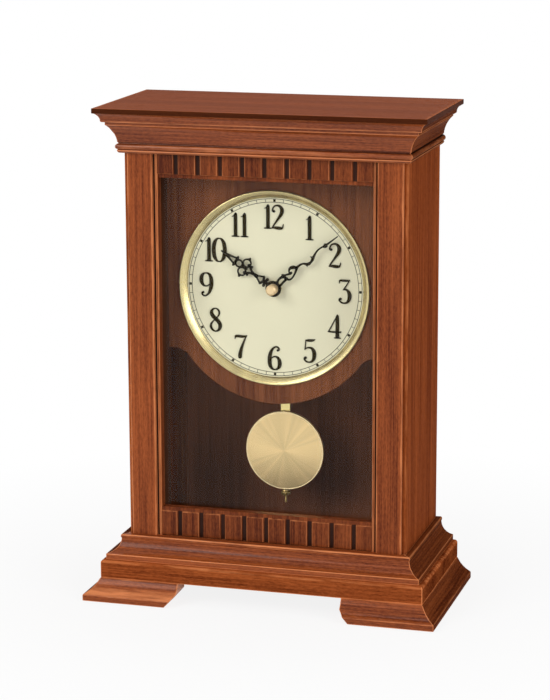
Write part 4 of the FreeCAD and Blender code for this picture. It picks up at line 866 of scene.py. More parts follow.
class ClockCrown(bpy.types.Operator):
    """Makes the top board and the mitred crown moulding"""
    bl_idname = "clock.crown"
    bl_label = "Crown and top board"

    def execute(self, context):
        box = edges("top_board")
        reach = box.x1 - HALF_CASE
        profile = [(SLAB_CORE, box.z0), (reach, box.z0), (reach, box.z1), (SLAB_CORE, box.z1)]
        in_wood(slab("wood_top_board", profile, TOP_EDGE_SHADE), "wood_top", "top_board")
        front = front_run("wood_crown_front", crown_steps(-2.5), CROWN_SOLE, shaded_band=CROWN_QUIRK)
        in_wood(front, "wood_crown", "crown_front")
        for side, word in SIDES:
            run = side_run("wood_crown_" + word, crown_steps(0), CROWN_SOLE, side, CROWN_QUIRK)
            in_wood(run, "wood_deep", "crown_" + word)
        return {"FINISHED"}


class ClockBase(bpy.types.Operator):
    """Makes the base moulding, the base board and the bracket feet"""
    bl_idname = "clock.base"
    bl_label = "Base and feet"

    def execute(self, context):
        front = front_run("wood_base_front", base_steps(-2.5), BASE_BOARD_TOP)
        in_wood(front, "wood_across", "base_moulding_front")
        box = edges("base_board")
        reach, top = box.x1 - HALF_CASE, box.z1
        profile = [(SLAB_CORE, box.z0), (reach, box.z0), (reach, top - 2.2),
                   (reach - 0.64, top - 0.64, reach - 2.2, top), (SLAB_CORE, top)]
        in_wood(slab("wood_base_board", profile, end_stain=END_GRAIN_STAIN), "wood_base", "base_board")
        foot = edges("foot_front_right")
        square = foot.z1 - FOOT_NECK
        for side, word in SIDES:
            run = side_run("wood_base_" + word, base_steps(0), BASE_BOARD_TOP, side)
            in_wood(run, "wood_deep", "base_moulding_" + word)
            run = side_run("wood_foot_side_" + word, foot_steps(1.8), 0, side)
            in_wood(run, "wood_deep", "foot_side_" + word)

            def ends(outer, rise, side=side):
                """The sloping inner end of a foot and its mitre, from left to right."""
                inner = foot.x0 + FOOT_SLOPE * np.clip((square - rise) / square, 0, 1)
                return (inner, outer) if side > 0 else (-outer, -inner)

            front = front_run("wood_foot_front_" + word, foot_steps(1.8), 0, ends, FOOT_SHEEN[word])
            in_wood(front, "wood_across", "foot_front_" + word)
        return {"FINISHED"}


class ClockCaseSides(bpy.types.Operator):
    """Makes the side panels, the columns and the stiles of the front frame"""
    bl_idname = "clock.case_sides"
    bl_label = "Sides, columns and stiles"

    def execute(self, context):
        panel, column, stile = (edges(node) for node in ("side_panel_right", "column_right", "stile_right"))
        x0, x1, y0, y1 = panel[:4]
        panel_steps = [(x0, y1), (x0, y0), (x1 - 2.2, y0), (x1 - 0.64, y0 + 0.64, x1, y0 + 2.2), (x1, y1)]
        x0, x1, y0, y1 = column[:4]
        column_steps = [(x0, y1), (x0, y0 + 1.3), (x0 + 0.38, y0 + 0.38, x0 + 1.3, y0), (x1 - 1.3, y0),
                        (x1 - 0.38, y0 + 0.38, x1, y0 + 1.3), (x1, y1)]
        x0, x1, y0, y1 = stile[:4]
        quirk = column.x0
        stile_steps = [(x0, y1), (x0, y0 + 0.9), (x0 + 0.26, y0 + 0.26, x0 + 0.9, y0), (quirk - 1.4, y0),
                       (quirk - 1.4, y0 + 1.2), (quirk, y0 + 1.2), (quirk, y0), (x1, y0), (x1, y1)]
        for side, word in SIDES:
            piece = upright_piece("wood_side_" + word, panel_steps, panel, side, INNER_FACE_SHADE)
            in_wood(piece, "wood_side", "side_panel_" + word)
            piece = upright_piece("wood_column_" + word, column_steps, column, side)
            in_wood(piece, "wood_up", "column_" + word)
            piece = upright_piece("wood_stile_" + word, stile_steps, stile, side)
            in_wood(piece, "wood_stile", "stile_" + word)
        return {"FINISHED"}


class ClockRails(bpy.types.Operator):
    """Makes the two rails with their rows of grooves"""
    bl_idname = "clock.rails"
    bl_label = "Grooved rails"

    def execute(self, context):
        top, low = edges("rail_top"), edges("rail_bottom")
        rail = rail_piece("wood_rail_top", top, top.z0 + RAIL_BAND, CROWN_SOLE)
        in_wood(rail, "wood_rail", "rail_top")
        rail = rail_piece("wood_rail_bottom", low, LEDGE_TOP, low.z1 - RAIL_BAND)
        in_wood(rail, "wood_rail", "rail_bottom")
        return {"FINISHED"}


# Strokes of the figures, as shares of their height: across, up, half width.
FIGURE_STROKES = {
    "0": [[(0, .985, .016), (-.10, .955, .030), (-.19, .82, .050), (-.232, .64, .056), (-.24, .5, .057),
           (-.232, .36, .056), (-.19, .18, .050), (-.10, .045, .030), (0, .015, .016), (.10, .045, .030),
           (.19, .18, .050), (.232, .36, .056), (.24, .5, .057), (.232, .64, .056), (.19, .82, .050),
           (.10, .955, .030), (0, .985, .016)]],
    "1": [[(.012, .985, .022), (.012, .90, .050), (.012, .5, .052), (.012, .12, .052), (.012, .075, .054)],
          [(-.135, .020, .014), (-.06, .026, .020), (.012, .034, .028), (.085, .026, .020),
           (.16, .020, .014)],
          [(.03, .955, .030), (-.03, .90, .020), (-.075, .865, .014), (-.13, .845, .010)]],
    "2": [[(-.165, .725, .030), (-.215, .755, .022), (-.205, .85, .020), (-.135, .945, .022),
           (-.02, .982, .024), (.095, .945, .036), (.170, .845, .052), (.180, .735, .056), (.135, .60, .048),
           (.04, .455, .036), (-.07, .30, .026), (-.165, .165, .020), (-.232, .05, .018)],
          [(-.245, .035, .014), (-.15, .055, .030), (-.04, .050, .044), (.08, .040, .044), (.17, .045, .034),
           (.215, .10, .020), (.238, .20, .012)]],
    "3": [[(-.215, .845, .010), (-.195, .90, .018), (-.18, .955, .024), (-.05, .958, .032), (.10, .958, .030),
           (.225, .975, .014)],
          [(.225, .972, .012), (.14, .84, .016), (.05, .70, .018), (-.03, .585, .016)],
          [(-.045, .565, .012), (.04, .592, .022), (.13, .550, .036), (.200, .45, .050), (.222, .32, .056),
           (.200, .17, .050), (.125, .06, .034), (.01, .018, .022), (-.11, .032, .022), (-.195, .10, .022),
           (-.205, .165, .026), (-.17, .195, .028)]],
    "4": [[(.105, .985, .016), (.105, .90, .046), (.105, .5, .052), (.105, .12, .052), (.105, .075, .054)],
          [(-.02, .020, .014), (.05, .026, .020), (.105, .034, .028), (.165, .026, .020), (.235, .020, .014)],
          [(.115, .985, .012), (.0, .78, .014), (-.13, .53, .016), (-.265, .285, .014)],
          [(-.275, .275, .018), (-.10, .268, .024), (.10, .268, .024), (.235, .272, .020),
           (.262, .295, .010)]],
    "5": [[(-.155, .93, .016), (-.05, .935, .036), (.08, .940, .038), (.18, .958, .028), (.235, .985, .010)],
          [(-.150, .945, .014), (-.162, .80, .014), (-.178, .66, .014), (-.190, .545, .014)],
          [(-.195, .545, .012), (-.11, .612, .020), (0, .632, .026), (.11, .600, .038), (.190, .48, .052),
           (.212, .34, .057), (.190, .18, .050), (.115, .06, .034), (.0, .018, .022), (-.12, .035, .022),
           (-.20, .105, .022), (-.208, .175, .026), (-.172, .205, .028)]],
    "6": [[(.135, .83, .028), (.180, .86, .022), (.165, .93, .022), (.09, .978, .022), (.0, .965, .024),
           (-.10, .88, .034), (-.175, .74, .046), (-.222, .56, .055), (-.230, .40, .058), (-.222, .25, .055),
           (-.175, .11, .044), (-.09, .03, .028), (.01, .014, .018), (.11, .05, .032), (.185, .15, .050),
           (.205, .28, .057), (.185, .42, .050), (.11, .53, .032), (.01, .565, .020), (-.09, .535, .018),
           (-.175, .45, .014), (-.21, .38, .012)]],
    "7": [[(-.245, .835, .010), (-.222, .90, .022), (-.195, .945, .034), (-.05, .948, .040),
           (.08, .940, .036), (.19, .955, .028), (.262, .985, .012)],
          [(.262, .982, .012), (.19, .845, .020), (.105, .64, .030), (.035, .44, .042), (-.012, .25, .052),
           (-.028, .13, .056), (-.030, .075, .056)]],
    "8": [[(.0, .988, .016), (-.09, .96, .026), (-.165, .87, .042), (-.168, .765, .052), (-.105, .655, .056),
           (.0, .555, .056), (.11, .45, .056), (.185, .33, .056), (.195, .21, .052), (.14, .085, .038),
           (.0, .012, .018), (-.13, .075, .030), (-.205, .20, .034), (-.185, .33, .028), (-.09, .455, .018),
           (.03, .57, .016), (.125, .68, .020), (.165, .79, .026), (.14, .90, .026), (.07, .97, .020),
           (.0, .988, .016)]],
}
FIGURE_BALLS = {"2": [(-.158, .735, .052)], "3": [(-.163, .185, .054)], "5": [(-.163, .195, .054)],
                "6": [(.130, .835, .050)]}
# How much bolder the figures and the hands are than their tables, and the share of that which the
# rings of the hour hand take.
FIGURE_WEIGHT = 1.42
HAND_WEIGHT = 1.42
RING_SHARE = 0.3
# The middle of a two-figure numeral's figures, as shares of their height from the numeral's middle.
FIGURE_SPREAD = {"10": (-0.270, 0.185), "11": (-0.200, 0.185), "12": (-0.290, 0.140)}
# How far the figures stand out of the dial's face and how far their backs are sunk in it.
FIGURE_RISE, FIGURE_SUNK = 0.75, 0.02
# The section of a line of the minute track, and how deep all its parts are sunk.
TRACK_LINE = np.array([(-0.22, 0.03), (0.22, 0.03), (0.20, -0.05), (-0.20, -0.05)])
TRACK_SUNK = 0.03
# Half width and rise of a thin stroke and of an hour's stroke, and where an hour's stroke starts and
# ends outside the inner line.
THIN_STROKE = (0.18, 0.045)
HOUR_STROKE = (0.95, 0.07)
HOUR_STROKE_SPAN = (0.35, 2.25)
# Steps round a line of the track, a button, the outline of a plate with a hole, and the bezel.
TRACK_STEPS, DISC_STEPS, RING_STEPS, BEZEL_TURNS = 241, 28, 72, 256
# The bezel's section: reach beyond its radius, and depth.
BEZEL_STEPS = [(0, 0), (0, -0.7), (-0.25, -1.45, -1.0, -1.9), (-1.6, -1.75), (-3.9, -0.25, -6.0, 1.75),
               (-6.2, 2.2), (-5.6, 2.5), (-3.2, 2.5), (-3.1, 0)]
# Rounding of the front edges of the printed figures and of the hands, how far the plates of a hand
# lie below the face of its bars, and the steps from the side of a bar to its round end.
PRINT_EDGE, HAND_EDGE = 0.12, 0.1
PLATE_DROP = 0.05
END_STEPS = 7


def turned(name, steps, centre, turns, softness=0.08, marks=None, spacing=0.12):
    """A turned piece: a closed section of radius and depth, carried round the Y axis through a centre;
    marks may give the edge mark from the section."""
    section = softened(steps, softness, spacing)[0]
    radius = np.maximum(section[:, 0], 0)
    angle = (2 * math.pi * np.arange(turns) / turns)[:, None]
    loops = grid(centre[0] + radius * np.cos(angle), centre[1] + section[:, 1],
                 centre[2] + radius * np.sin(angle))
    loops = np.concatenate([loops, loops[:1]])
    mark = np.broadcast_to(marks(section), loops.shape[:2]) if marks else None
    return closed_mesh(name, *lofted(loops, caps=False), mark, merge=SAME_ON_AXIS)


def placed(place, across, up, y):
    """Points at a depth y, where place turns across and up into x and z."""
    x, z = place(across, up)
    return grid(x, y, z)


def strand(steps, smooth=14):
    """A smooth line through steps of across, up and half width: each span is a cubic whose slope at a
    step is that of the line between the steps beside it."""
    steps = np.asarray(steps, float)
    ends = np.concatenate([[2 * steps[0] - steps[1]], steps, [2 * steps[-1] - steps[-2]]])
    if np.allclose(steps[0, :2], steps[-1, :2]):
        ends[0], ends[-1] = steps[-2], steps[1]
    a, b, c, d = (part[:, None, :] for part in (ends[:-3], ends[1:-2], ends[2:-1], ends[3:]))
    t = np.linspace(0, 1, smooth, endpoint=False)[None, :, None]
    line = 0.5 * (2 * b + (c - a) * t + (2 * a - 5 * b + 4 * c - d) * t**2 + (3 * b - a - 3 * c + d) * t**3)
    return np.concatenate([line.reshape(-1, 3), steps[-1:]])


def flat_bar(line, y_back, y_front, place, edge=PRINT_EDGE):
    """A flat bar along a line of changing width. Its section is a low box with rounded front edges, and it
    closes on a half circle at each end; place turns across and up into x and z."""
    steps = np.diff(line[:, :2], axis=0)
    way = np.concatenate([steps[:1], (steps[:-1] + steps[1:]) / 2, steps[-1:]])
    way /= np.maximum(np.linalg.norm(way, axis=1, keepdims=True), 1e-9)
    half = np.maximum(line[:, 2], 1e-3)
    angle = np.linspace(0, math.pi / 2, END_STEPS)[:-1]
    beyond = np.cos(angle)[:, None]
    centre = np.concatenate([line[0, :2] - way[0] * half[0] * beyond, line[:, :2],
                             (line[-1, :2] + way[-1] * half[-1] * beyond)[::-1]])
    normal = np.pad(np.stack([-way[:, 1], way[:, 0]], -1), ((END_STEPS - 1,) * 2, (0, 0)), "edge")
    half = np.concatenate([half[0] * np.sin(angle), half, (half[-1] * np.sin(angle))[::-1]])
    half = np.maximum(half, 2e-3)
    inner = np.maximum(half - edge, half * 0.45)
    depth = np.minimum(edge, half * 0.8)
    rows = []
    for width, y in ((-half, y_back), (half, y_back), (half, y_front + depth), (inner, y_front),
                     (-inner, y_front), (-half, y_front + depth)):
        flat = centre + normal * width[:, None]
        rows.append(placed(place, flat[:, 0], flat[:, 1], y))
    return lofted(np.stack(rows, 1))


def disc(across, up, radius, y_back, y_front, place):
    """A low round button with a rounded front edge."""
    angle = np.linspace(0, 2 * math.pi, DISC_STEPS, endpoint=False)
    return lofted(np.stack([
        placed(place, across + r * np.cos(angle), up + r * np.sin(angle), y)
        for r, y in ((radius, y_back), (radius, y_front + PRINT_EDGE), (radius - PRINT_EDGE, y_front))]))


def figure_parts(figure, height, place_x, place_z, y_back, y_front):
    """The bars and balls of one figure, upright, with its middle at a place on the dial. A 9 is a 6
    turned half round."""
    turned_round = figure == "9"
    figure = "6" if turned_round else figure

    def place(across, up):
        """x and z of a point of the figure."""
        if turned_round:
            across, up = -across, height - up
        return place_x + across, place_z + up - height / 2

    parts = [flat_bar(strand(stroke) * (height, height, height * FIGURE_WEIGHT), y_back, y_front, place)
             for stroke in FIGURE_STROKES[figure]]
    return parts + [disc(x * height, z * height, r * height, y_back, y_front, place)
                    for x, z, r in FIGURE_BALLS.get(figure, [])]


def track_line(radius):
    """A round line of the minute track: its section carried round the dial's centre."""
    angle = np.linspace(0, 2 * math.pi, TRACK_STEPS)[:, None]
    r = radius + TRACK_LINE[:, 0]
    return lofted(grid(r * np.sin(angle), DIAL_FACE + TRACK_LINE[:, 1], DIAL_CENTRE + r * np.cos(angle)),
                  caps=False)


def track_stroke(minute, inner, outer):
    """A stroke of the minute track: thin and from line to line, or thick and short at an hour."""
    (half, lift), low, high = THIN_STROKE, inner, outer
    if minute % 5 == 0:
        (half, lift), (low, high) = HOUR_STROKE, (inner + share for share in HOUR_STROKE_SPAN)
    angle = math.radians(6 * minute)
    across, up = np.array([(-half, low), (half, low), (half, high), (-half, high)]).T
    x = across * math.cos(angle) + up * math.sin(angle)
    z = DIAL_CENTRE + up * math.cos(angle) - across * math.sin(angle)
    return lofted(np.stack([grid(x, DIAL_FACE + y, z) for y in (TRACK_SUNK, -lift)]))


class ClockDial(bpy.types.Operator):
    """Makes the numerals, the minute track and the brass bezel of the dial"""
    bl_idname = "clock.dial"
    bl_label = "Dial"

    def execute(self, context):
        dial = context.scene.clock_dial
        height, circle, inner, outer = (length / MM for length in (
            dial.numeral_height, dial.numeral_circle, dial.track_inner, dial.track_outer))
        parts = []
        for hour in range(1, 13):
            angle, word = math.radians(30 * hour), str(hour)
            x, z = circle * math.sin(angle), DIAL_CENTRE + circle * math.cos(angle)
            for figure, offset in zip(word, FIGURE_SPREAD.get(word, (0.0,))):
                parts += figure_parts(figure, height, x + offset * height, z, DIAL_FACE + FIGURE_SUNK,
                                      DIAL_FACE - FIGURE_RISE)
        numerals = closed_mesh("dial_numerals", *joined(parts), merge=SAME_IN_PART)
        dressed(numerals, "case", "hand_black", finishes["ink"])

        parts = [track_line(inner), track_line(outer)]
        parts += [track_stroke(minute, inner, outer) for minute in range(60)]
        track = closed_mesh("dial_minute_track", *joined(parts), merge=SAME_IN_PART)
        dressed(track, "case", "hand_black", finishes["ink"])

        steps = [tuple(value + BEZEL_RADIUS * (place % 2 == 0) for place, value in enumerate(step))
                 for step in BEZEL_STEPS]
        bezel = turned("brass_bezel_ring", steps, (0, DIAL_BOARD_FRONT, DIAL_CENTRE), BEZEL_TURNS)
        dressed(bezel, "case", "satin_brass", finishes["brass_bezel"], "dial_bezel")
        return {"FINISHED"}


# Outlines of the hands as shares of a hand's length: along, across and, for a strand, half width.
MINUTE_STRANDS = [
    [(0.06, 0.02, 0.013), (0.087, 0.031, 0.011), (0.119, 0.042, 0.009), (0.153, 0.045, 0.01),
     (0.18, 0.038, 0.012), (0.198, 0.02, 0.011), (0.203, 0.002, 0.01)],
    [(0.06, -0.028, 0.013), (0.088, -0.023, 0.01), (0.134, -0.015, 0.009), (0.176, -0.011, 0.01),
     (0.206, -0.004, 0.011)],
    [(0.176, 0.044, 0.011), (0.197, 0.043, 0.011), (0.217, 0.036, 0.008), (0.249, 0.023, 0.008),
     (0.278, 0.014, 0.011), (0.291, 0.014, 0.01)],
    [(0.286, 0.013, 0.007), (0.279, 0.03, 0.006), (0.287, 0.047, 0.007), (0.307, 0.059, 0.01),
     (0.33, 0.059, 0.013), (0.354, 0.046, 0.015), (0.371, 0.03, 0.012), (0.38, 0.016, 0.01)],
    [(0.196, 0.006, 0.011), (0.207, -0.018, 0.009), (0.225, -0.036, 0.008), (0.25, -0.041, 0.007),
     (0.286, -0.034, 0.007), (0.327, -0.017, 0.008), (0.359, 0.001, 0.01), (0.38, 0.015, 0.011)],
    [(0.368, 0.022, 0.01), (0.415, 0.02, 0.01), (0.452, 0.016, 0.008), (0.48, 0.003, 0.008),
     (0.501, -0.02, 0.011), (0.526, -0.034, 0.013), (0.556, -0.034, 0.01), (0.59, -0.024, 0.012),
     (0.622, -0.008, 0.011), (0.664, 0.01, 0.008), (0.715, 0.022, 0.007), (0.77, 0.019, 0.007),
     (0.819, 0.009, 0.009), (0.89, 0.004, 0.007), (1, 0, 0.004)],
]
MINUTE_SPIKES = [
    [(0.172, 0.04), (0.188, 0.071), (0.206, 0.063), (0.216, 0.034)],
    [(0.212, -0.026), (0.236, -0.054), (0.25, -0.036)],
    [(0.484, -0.012), (0.491, -0.052), (0.518, -0.03)],
    [(0.588, -0.022), (0.594, 0.024), (0.624, -0.006)],
    [(0.782, 0.002), (0.804, 0.026), (0.824, 0.036), (0.852, 0.008), (0.826, -0.020), (0.800, -0.014)],
]
HOUR_BRANCHES = [
    [(0.33, 0.006, 0.018), (0.365, 0.002, 0.016), (0.396, 0.006, 0.014), (0.434, 0.02, 0.012),
     (0.47, 0.044, 0.012), (0.497, 0.072, 0.014)],
]
HOUR_SPIKES = [
    [(0.146, 0.06), (0.18, 0.046), (0.196, 0.01), (0.15, 0.01)],
    [(0.448, 0.034), (0.443, 0.084), (0.454, 0.094), (0.488, 0.08), (0.508, 0.06)],
    [(0.528, 0.138), (0.54, 0.172), (0.56, 0.182), (0.59, 0.14)],
    [(0.692, 0.044), (0.712, 0.084), (0.732, 0.092), (0.744, 0.07), (0.748, 0.04)],
]
HOUR_PLATES = [
    [(0.08, 0.06), (0.125, 0.026), (0.165, 0.03), (0.215, 0.028), (0.215, -0.028), (0.165, -0.03),
     (0.125, -0.026), (0.08, -0.06)],
    [(0.5, 0.013), (0.612, 0.016), (0.612, -0.016), (0.5, -0.013)],
]
HOUR_PIERCED = [
    [(0.19, 0), (0.19, 0.036), (0.206, 0.066), (0.226, 0.082), (0.246, 0.066), (0.341, 0.014), (0.352, 0),
     (0.341, -0.014), (0.246, -0.066), (0.226, -0.082), (0.206, -0.066), (0.19, -0.036)],
    [(0.218, 0), (0.234, 0.04), (0.288, 0.016), (0.302, 0), (0.288, -0.016), (0.234, -0.04)],
    [(0.7, 0), (0.7, 0.052), (0.722, 0.064), (0.76, 0.056), (0.85, 0.034), (0.925, 0.021), (1, 0.009),
     (1, -0.009), (0.925, -0.021), (0.85, -0.034), (0.76, -0.056), (0.722, -0.064), (0.7, -0.052)],
    [(0.742, 0), (0.742, 0.03), (0.76, 0.03), (0.822, 0.01), (0.836, 0), (0.822, -0.01), (0.76, -0.03),
     (0.742, -0.03)],
]
# Rings of the hour hand: along, across, outer and inner radius; all but the first stand on both sides.
HOUR_RINGS = [(0.66, 0, 0.064, 0.042), (0.158, 0.056, 0.022, 0.007), (0.557, 0.077, 0.073, 0.051),
              (0.508, 0.066, 0.028, 0.009)]


def pierced(outer, inner, y_back, y_front, place):
    """A plate with a hole: the outer and the inner outline are stepped round together, and the section
    between them is a low box with rounded front edges."""
    outer, inner = (closed_even(np.asarray(outline), count=RING_STEPS)[0] for outline in (outer, inner))
    across = inner - outer
    across /= np.maximum(np.linalg.norm(across, axis=1, keepdims=True), 1e-9)
    edge = y_front + HAND_EDGE
    loops = np.stack([placed(place, flat[:, 1], flat[:, 0], y) for flat, y in (
        (outer, y_back), (outer, edge), (outer + across * HAND_EDGE, y_front),
        (inner - across * HAND_EDGE, y_front), (inner, edge), (inner, y_back))], 1)
    return lofted(np.concatenate([loops, loops[:1]]), caps=False)


def plate(corners, y_back, y_front, place):
    """A flat plate with straight sides."""
    return lofted(np.stack([placed(place, corners[:, 1], corners[:, 0], y) for y in (y_back, y_front)]))


def circle(along, across, radius):
    """An outline round a point of a hand."""
    angle = np.linspace(0, 2 * math.pi, RING_STEPS, endpoint=False)
    return np.stack([along - radius * np.cos(angle), across + radius * np.sin(angle)], -1)


def other_side(shares):
    """The same outline on the other side of the hand."""
    return [(share[0], -share[1]) + tuple(share[2:]) for share in shares]


def both_sides(outlines):
    """Outlines and their mirror images."""
    return outlines + [other_side(outline) for outline in outlines]


# Each hand's length, its angle from the twelve, its hub and bore, and its tables.
HANDS = {
    "minute": dict(length=66.0, turn=49.8, hub=6.2, bore=1.5, strands=MINUTE_STRANDS, spikes=MINUTE_SPIKES,
                   plates=[], holes=[], rings=[]),
    "hour": dict(length=49.8, turn=303.4, hub=5.4, bore=2.75, strands=both_sides(HOUR_BRANCHES),
                 spikes=both_sides(HOUR_SPIKES), plates=HOUR_PLATES, holes=HOUR_PIERCED,
                 rings=HOUR_RINGS + other_side(HOUR_RINGS[1:])),
}


def hand_parts(y_back, y_front, length, turn, hub, bore, strands, spikes, plates, holes, rings):
    """The parts of a hand at its hour, from its tables of shares."""
    angle = math.radians(turn)

    def place(across, up):
        """x and z of a point of the hand."""
        return (up * math.sin(angle) - across * math.cos(angle),
                DIAL_CENTRE + up * math.cos(angle) + across * math.sin(angle))

    lines = [strand([(across, along, half * HAND_WEIGHT) for along, across, half in shares]) * length
             for shares in strands]
    parts = [flat_bar(line, y_back, y_front, place, HAND_EDGE) for line in lines]
    parts += [plate(np.asarray(shares) * length, y_back, y_front + PLATE_DROP, place)
              for shares in spikes + plates]
    for outer, inner in zip(holes[::2], holes[1::2]):
        parts.append(pierced(np.asarray(outer) * length, np.asarray(inner) * length, y_back, y_front, place))
    for along, across, outer, inner in rings:
        middle = (outer + inner) / 2
        half = (outer - inner) / 2 * (1 + RING_SHARE * (HAND_WEIGHT - 1))
        parts.append(pierced(circle(along, across, middle + half) * length,
                             circle(along, across, middle - half) * length, y_back, y_front, place))
    parts.append(pierced(circle(0, 0, hub), circle(0, 0, bore), y_back, y_front, place))
    return joined(parts)


class ClockHands(bpy.types.Operator):
    """Makes the two serpentine hands"""
    bl_idname = "clock.hands"
    bl_label = "Hands"

    def execute(self, context):
        for name, shares in HANDS.items():
            box = edges(name + "_hand")
            parts = hand_parts(box.y1, box.y0, **shares)
            hand = closed_mesh("black_" + name + "_hand", *parts, merge=SAME_IN_PART)
            dressed(hand, name, "hand_black", finishes["hand_black"], name + "_hand")
        return {"FINISHED"}


# The bob: height of its rim, rise of its domed face, the flat between them, and half the width of the
# polished line where the dome begins, which is also painted lighter as a highlight.
BOB_RIM = 2.6
BOB_RISE = 1.2
BOB_FLAT = 0.9
BOB_HIGHLIGHT_LINE = 0.45
# The rod's strip: half its width, its thickness and the height of its foot, behind the bob.
ROD_HALF = 3.85
ROD_THICKNESS = 0.8
ROD_FOOT = 80
# The threaded stud under the bob: its top and radius, the depth and pitch of its thread, its bevelled
# tip, its steps round and along, and how far its axis lies behind the face of the rod.
STUD_TOP = 82
STUD_RADIUS = 0.95
THREAD_DEPTH, THREAD_PITCH = 0.10, 0.7
STUD_TIP = 0.3
STUD_TURNS, STUD_STEPS = 96, 260
STUD_SET_BACK = 1.05
# The knurl on the rating nut: its ridges, its depth and the radius from which it is cut.
KNURL_RIDGES, KNURL_DEPTH, KNURL_FROM = 24, 0.022, 3.7


class ClockPendulum(bpy.types.Operator):
    """Makes the domed bob, the rod and the rating nut of the pendulum"""
    bl_idname = "clock.pendulum"
    bl_label = "Pendulum"

    def execute(self, context):
        box = edges("pendulum_bob")
        radius = (box.x1 - box.x0) / 2
        rim = box.y1 - BOB_RIM
        reach = radius - BOB_FLAT
        sphere = (reach**2 + BOB_RISE**2) / (2 * BOB_RISE)
        halfway = rim - BOB_RISE + sphere - math.sqrt(sphere**2 - reach**2 / 4)
        steps = [(0, box.y1), (radius - 0.6, box.y1), (radius, box.y1 - 0.7), (radius, rim + 0.35),
                 (radius - 0.2, rim - 0.06, reach + 0.1, rim), (reach, rim),
                 (reach / 2, halfway, 0, rim - BOB_RISE)]
        bob = turned("brass_pendulum_bob", steps, (0, 0, (box.z0 + box.z1) / 2),
                     context.scene.clock_metal.turns, softness=0.16, spacing=0.15,
                     marks=lambda section: np.abs(section[:, 0] - reach) < BOB_HIGHLIGHT_LINE)
        dressed(bob, "pendulum", "satin_brass", finishes["brass_bob"], "pendulum_bob")

        box = edges("pendulum_rod")
        line = grid(0.0, np.linspace(ROD_FOOT + ROD_HALF, box.z1 - ROD_HALF, 40), ROD_HALF)
        strip = flat_bar(line, box.y0 + ROD_THICKNESS, box.y0, lambda across, up: (across, up), 0.25)
        rod = closed_mesh("brass_pendulum_rod", *strip, merge=SAME_IN_PART)
        dressed(rod, "pendulum", "satin_brass", finishes["brass_strip"], "pendulum_rod")
        angle = np.linspace(0, 2 * math.pi, STUD_TURNS, endpoint=False)
        up = np.linspace(box.z0, STUD_TOP, STUD_STEPS)[:, None]
        ridges = THREAD_DEPTH * np.cos(2 * math.pi * up / THREAD_PITCH)
        thread = STUD_RADIUS - ridges - STUD_TIP * (up < box.z0 + STUD_TIP)
        stud = lofted(grid(thread * np.cos(angle), box.y0 + STUD_SET_BACK + thread * np.sin(angle), up))

        box = edges("rating_nut")
        foot, head = box.z0, box.z1
        steps = [(1.0, foot), (2.6, foot), (3.6, foot + 0.5), (4.0, foot + 1.3), (4.0, foot + 2.6),
                 (3.3, foot + 3.2), (3.3, head - 1.3), (3.0, head - 0.7), (2.2, head), (1.0, head)]
        section = softened(steps, 0.1, 0.12)[0]
        angle = angle[:, None]
        knurl = 1 - KNURL_DEPTH * (1 + np.cos(KNURL_RIDGES * angle)) * (section[:, 0] > KNURL_FROM)
        radius = section[:, 0] * knurl
        loops = grid(radius * np.cos(angle), (box.y0 + box.y1) / 2 + radius * np.sin(angle), section[:, 1])
        barrel = lofted(np.concatenate([loops, loops[:1]]), caps=False)
        nut = closed_mesh("brass_rating_nut", *joined([barrel, stud]), merge=SAME_ON_AXIS)
        dressed(nut, "pendulum", "satin_brass", finishes["brass_dark"], "rating_nut")
        return {"FINISHED"}


class ClockFinishes(bpy.types.Operator):
    """Makes every finish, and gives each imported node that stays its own"""
    bl_idname = "clock.finishes"
    bl_label = "Finishes"

    def execute(self, context):
        finishes.update(make_materials())
        by_node = {
            "glass_strip_right": "wood_lining", "glass_strip_left": "wood_lining",
            "case_ceiling": "wood_panel", "hand_cap": "brass_cap",
        }
        by_slot = {
            "case_wood": "wood_up", "dial_board_wood": "wood_board", "door_board": "wood_panel",
            "satin_brass": "brass_part", "movement_plastic": "case_plastic",
        }
        for row in frame["record"]["subparts"]:
            slot = row["material_slot"]
            by_node.setdefault(row["node"], by_slot.get(slot, slot))
        for name, node in frame["nodes"].items():
            for slot in node.material_slots:
                slot.material = finishes[by_node[name]]
        return {"FINISHED"}


# Camera's sensor and far limit; the floor's half width, how its steps widen, and its gap to the feet.
SENSOR = 36
FAR_LIMIT = 50
FLOOR_REACH, FLOOR_WIDENING, FLOOR_GAP = 9.0, 1.6, 0.0004
FLOOR_GREY = 0.86
# The lamps: name, place, aim, size, tint and the setting that holds the power.
LAMPS = (
    ("key_lamp", (-1.35, -1.75, 1.35), (0, 0, 0.2), 1.5, (1, 0.99, 0.97), "key_light"),
    ("fill_lamp", (1.9, -0.9, 0.8), (0, 0, 0.2), 1.2, (1, 1, 1), "fill_light"),
    ("top_lamp", (0.1, 0.1, 1.75), (0, 0, 0.3), 1.0, (1, 1, 1), "top_light"),
)


def linked_object(name, data):
    """A new object in the scene."""
    made = bpy.data.objects.new(name, data)
    bpy.context.scene.collection.objects.link(made)
    return made


def lamp(name, place, aim, size, tint, power):
    """A square soft lamp that points at a place."""
    data = bpy.data.lights.new(name, "AREA")
    data.shape = "SQUARE"
    data.size = size
    data.energy = power
    data.color = tint
    made = linked_object(name, data)
    made.location = place
    made.rotation_euler = (Vector(aim) - Vector(place)).to_track_quat("-Z", "Y").to_euler()


def seen_plainly(tree):
    """1 for what the camera sees, straight, in a gloss or through glass, and 0 for other light."""
    path = add(tree, "ShaderNodeLightPath").outputs
    return worked(tree, "MAXIMUM", path["Is Camera Ray"],
                  worked(tree, "MAXIMUM", path["Is Glossy Ray"], path["Is Transmission Ray"]))


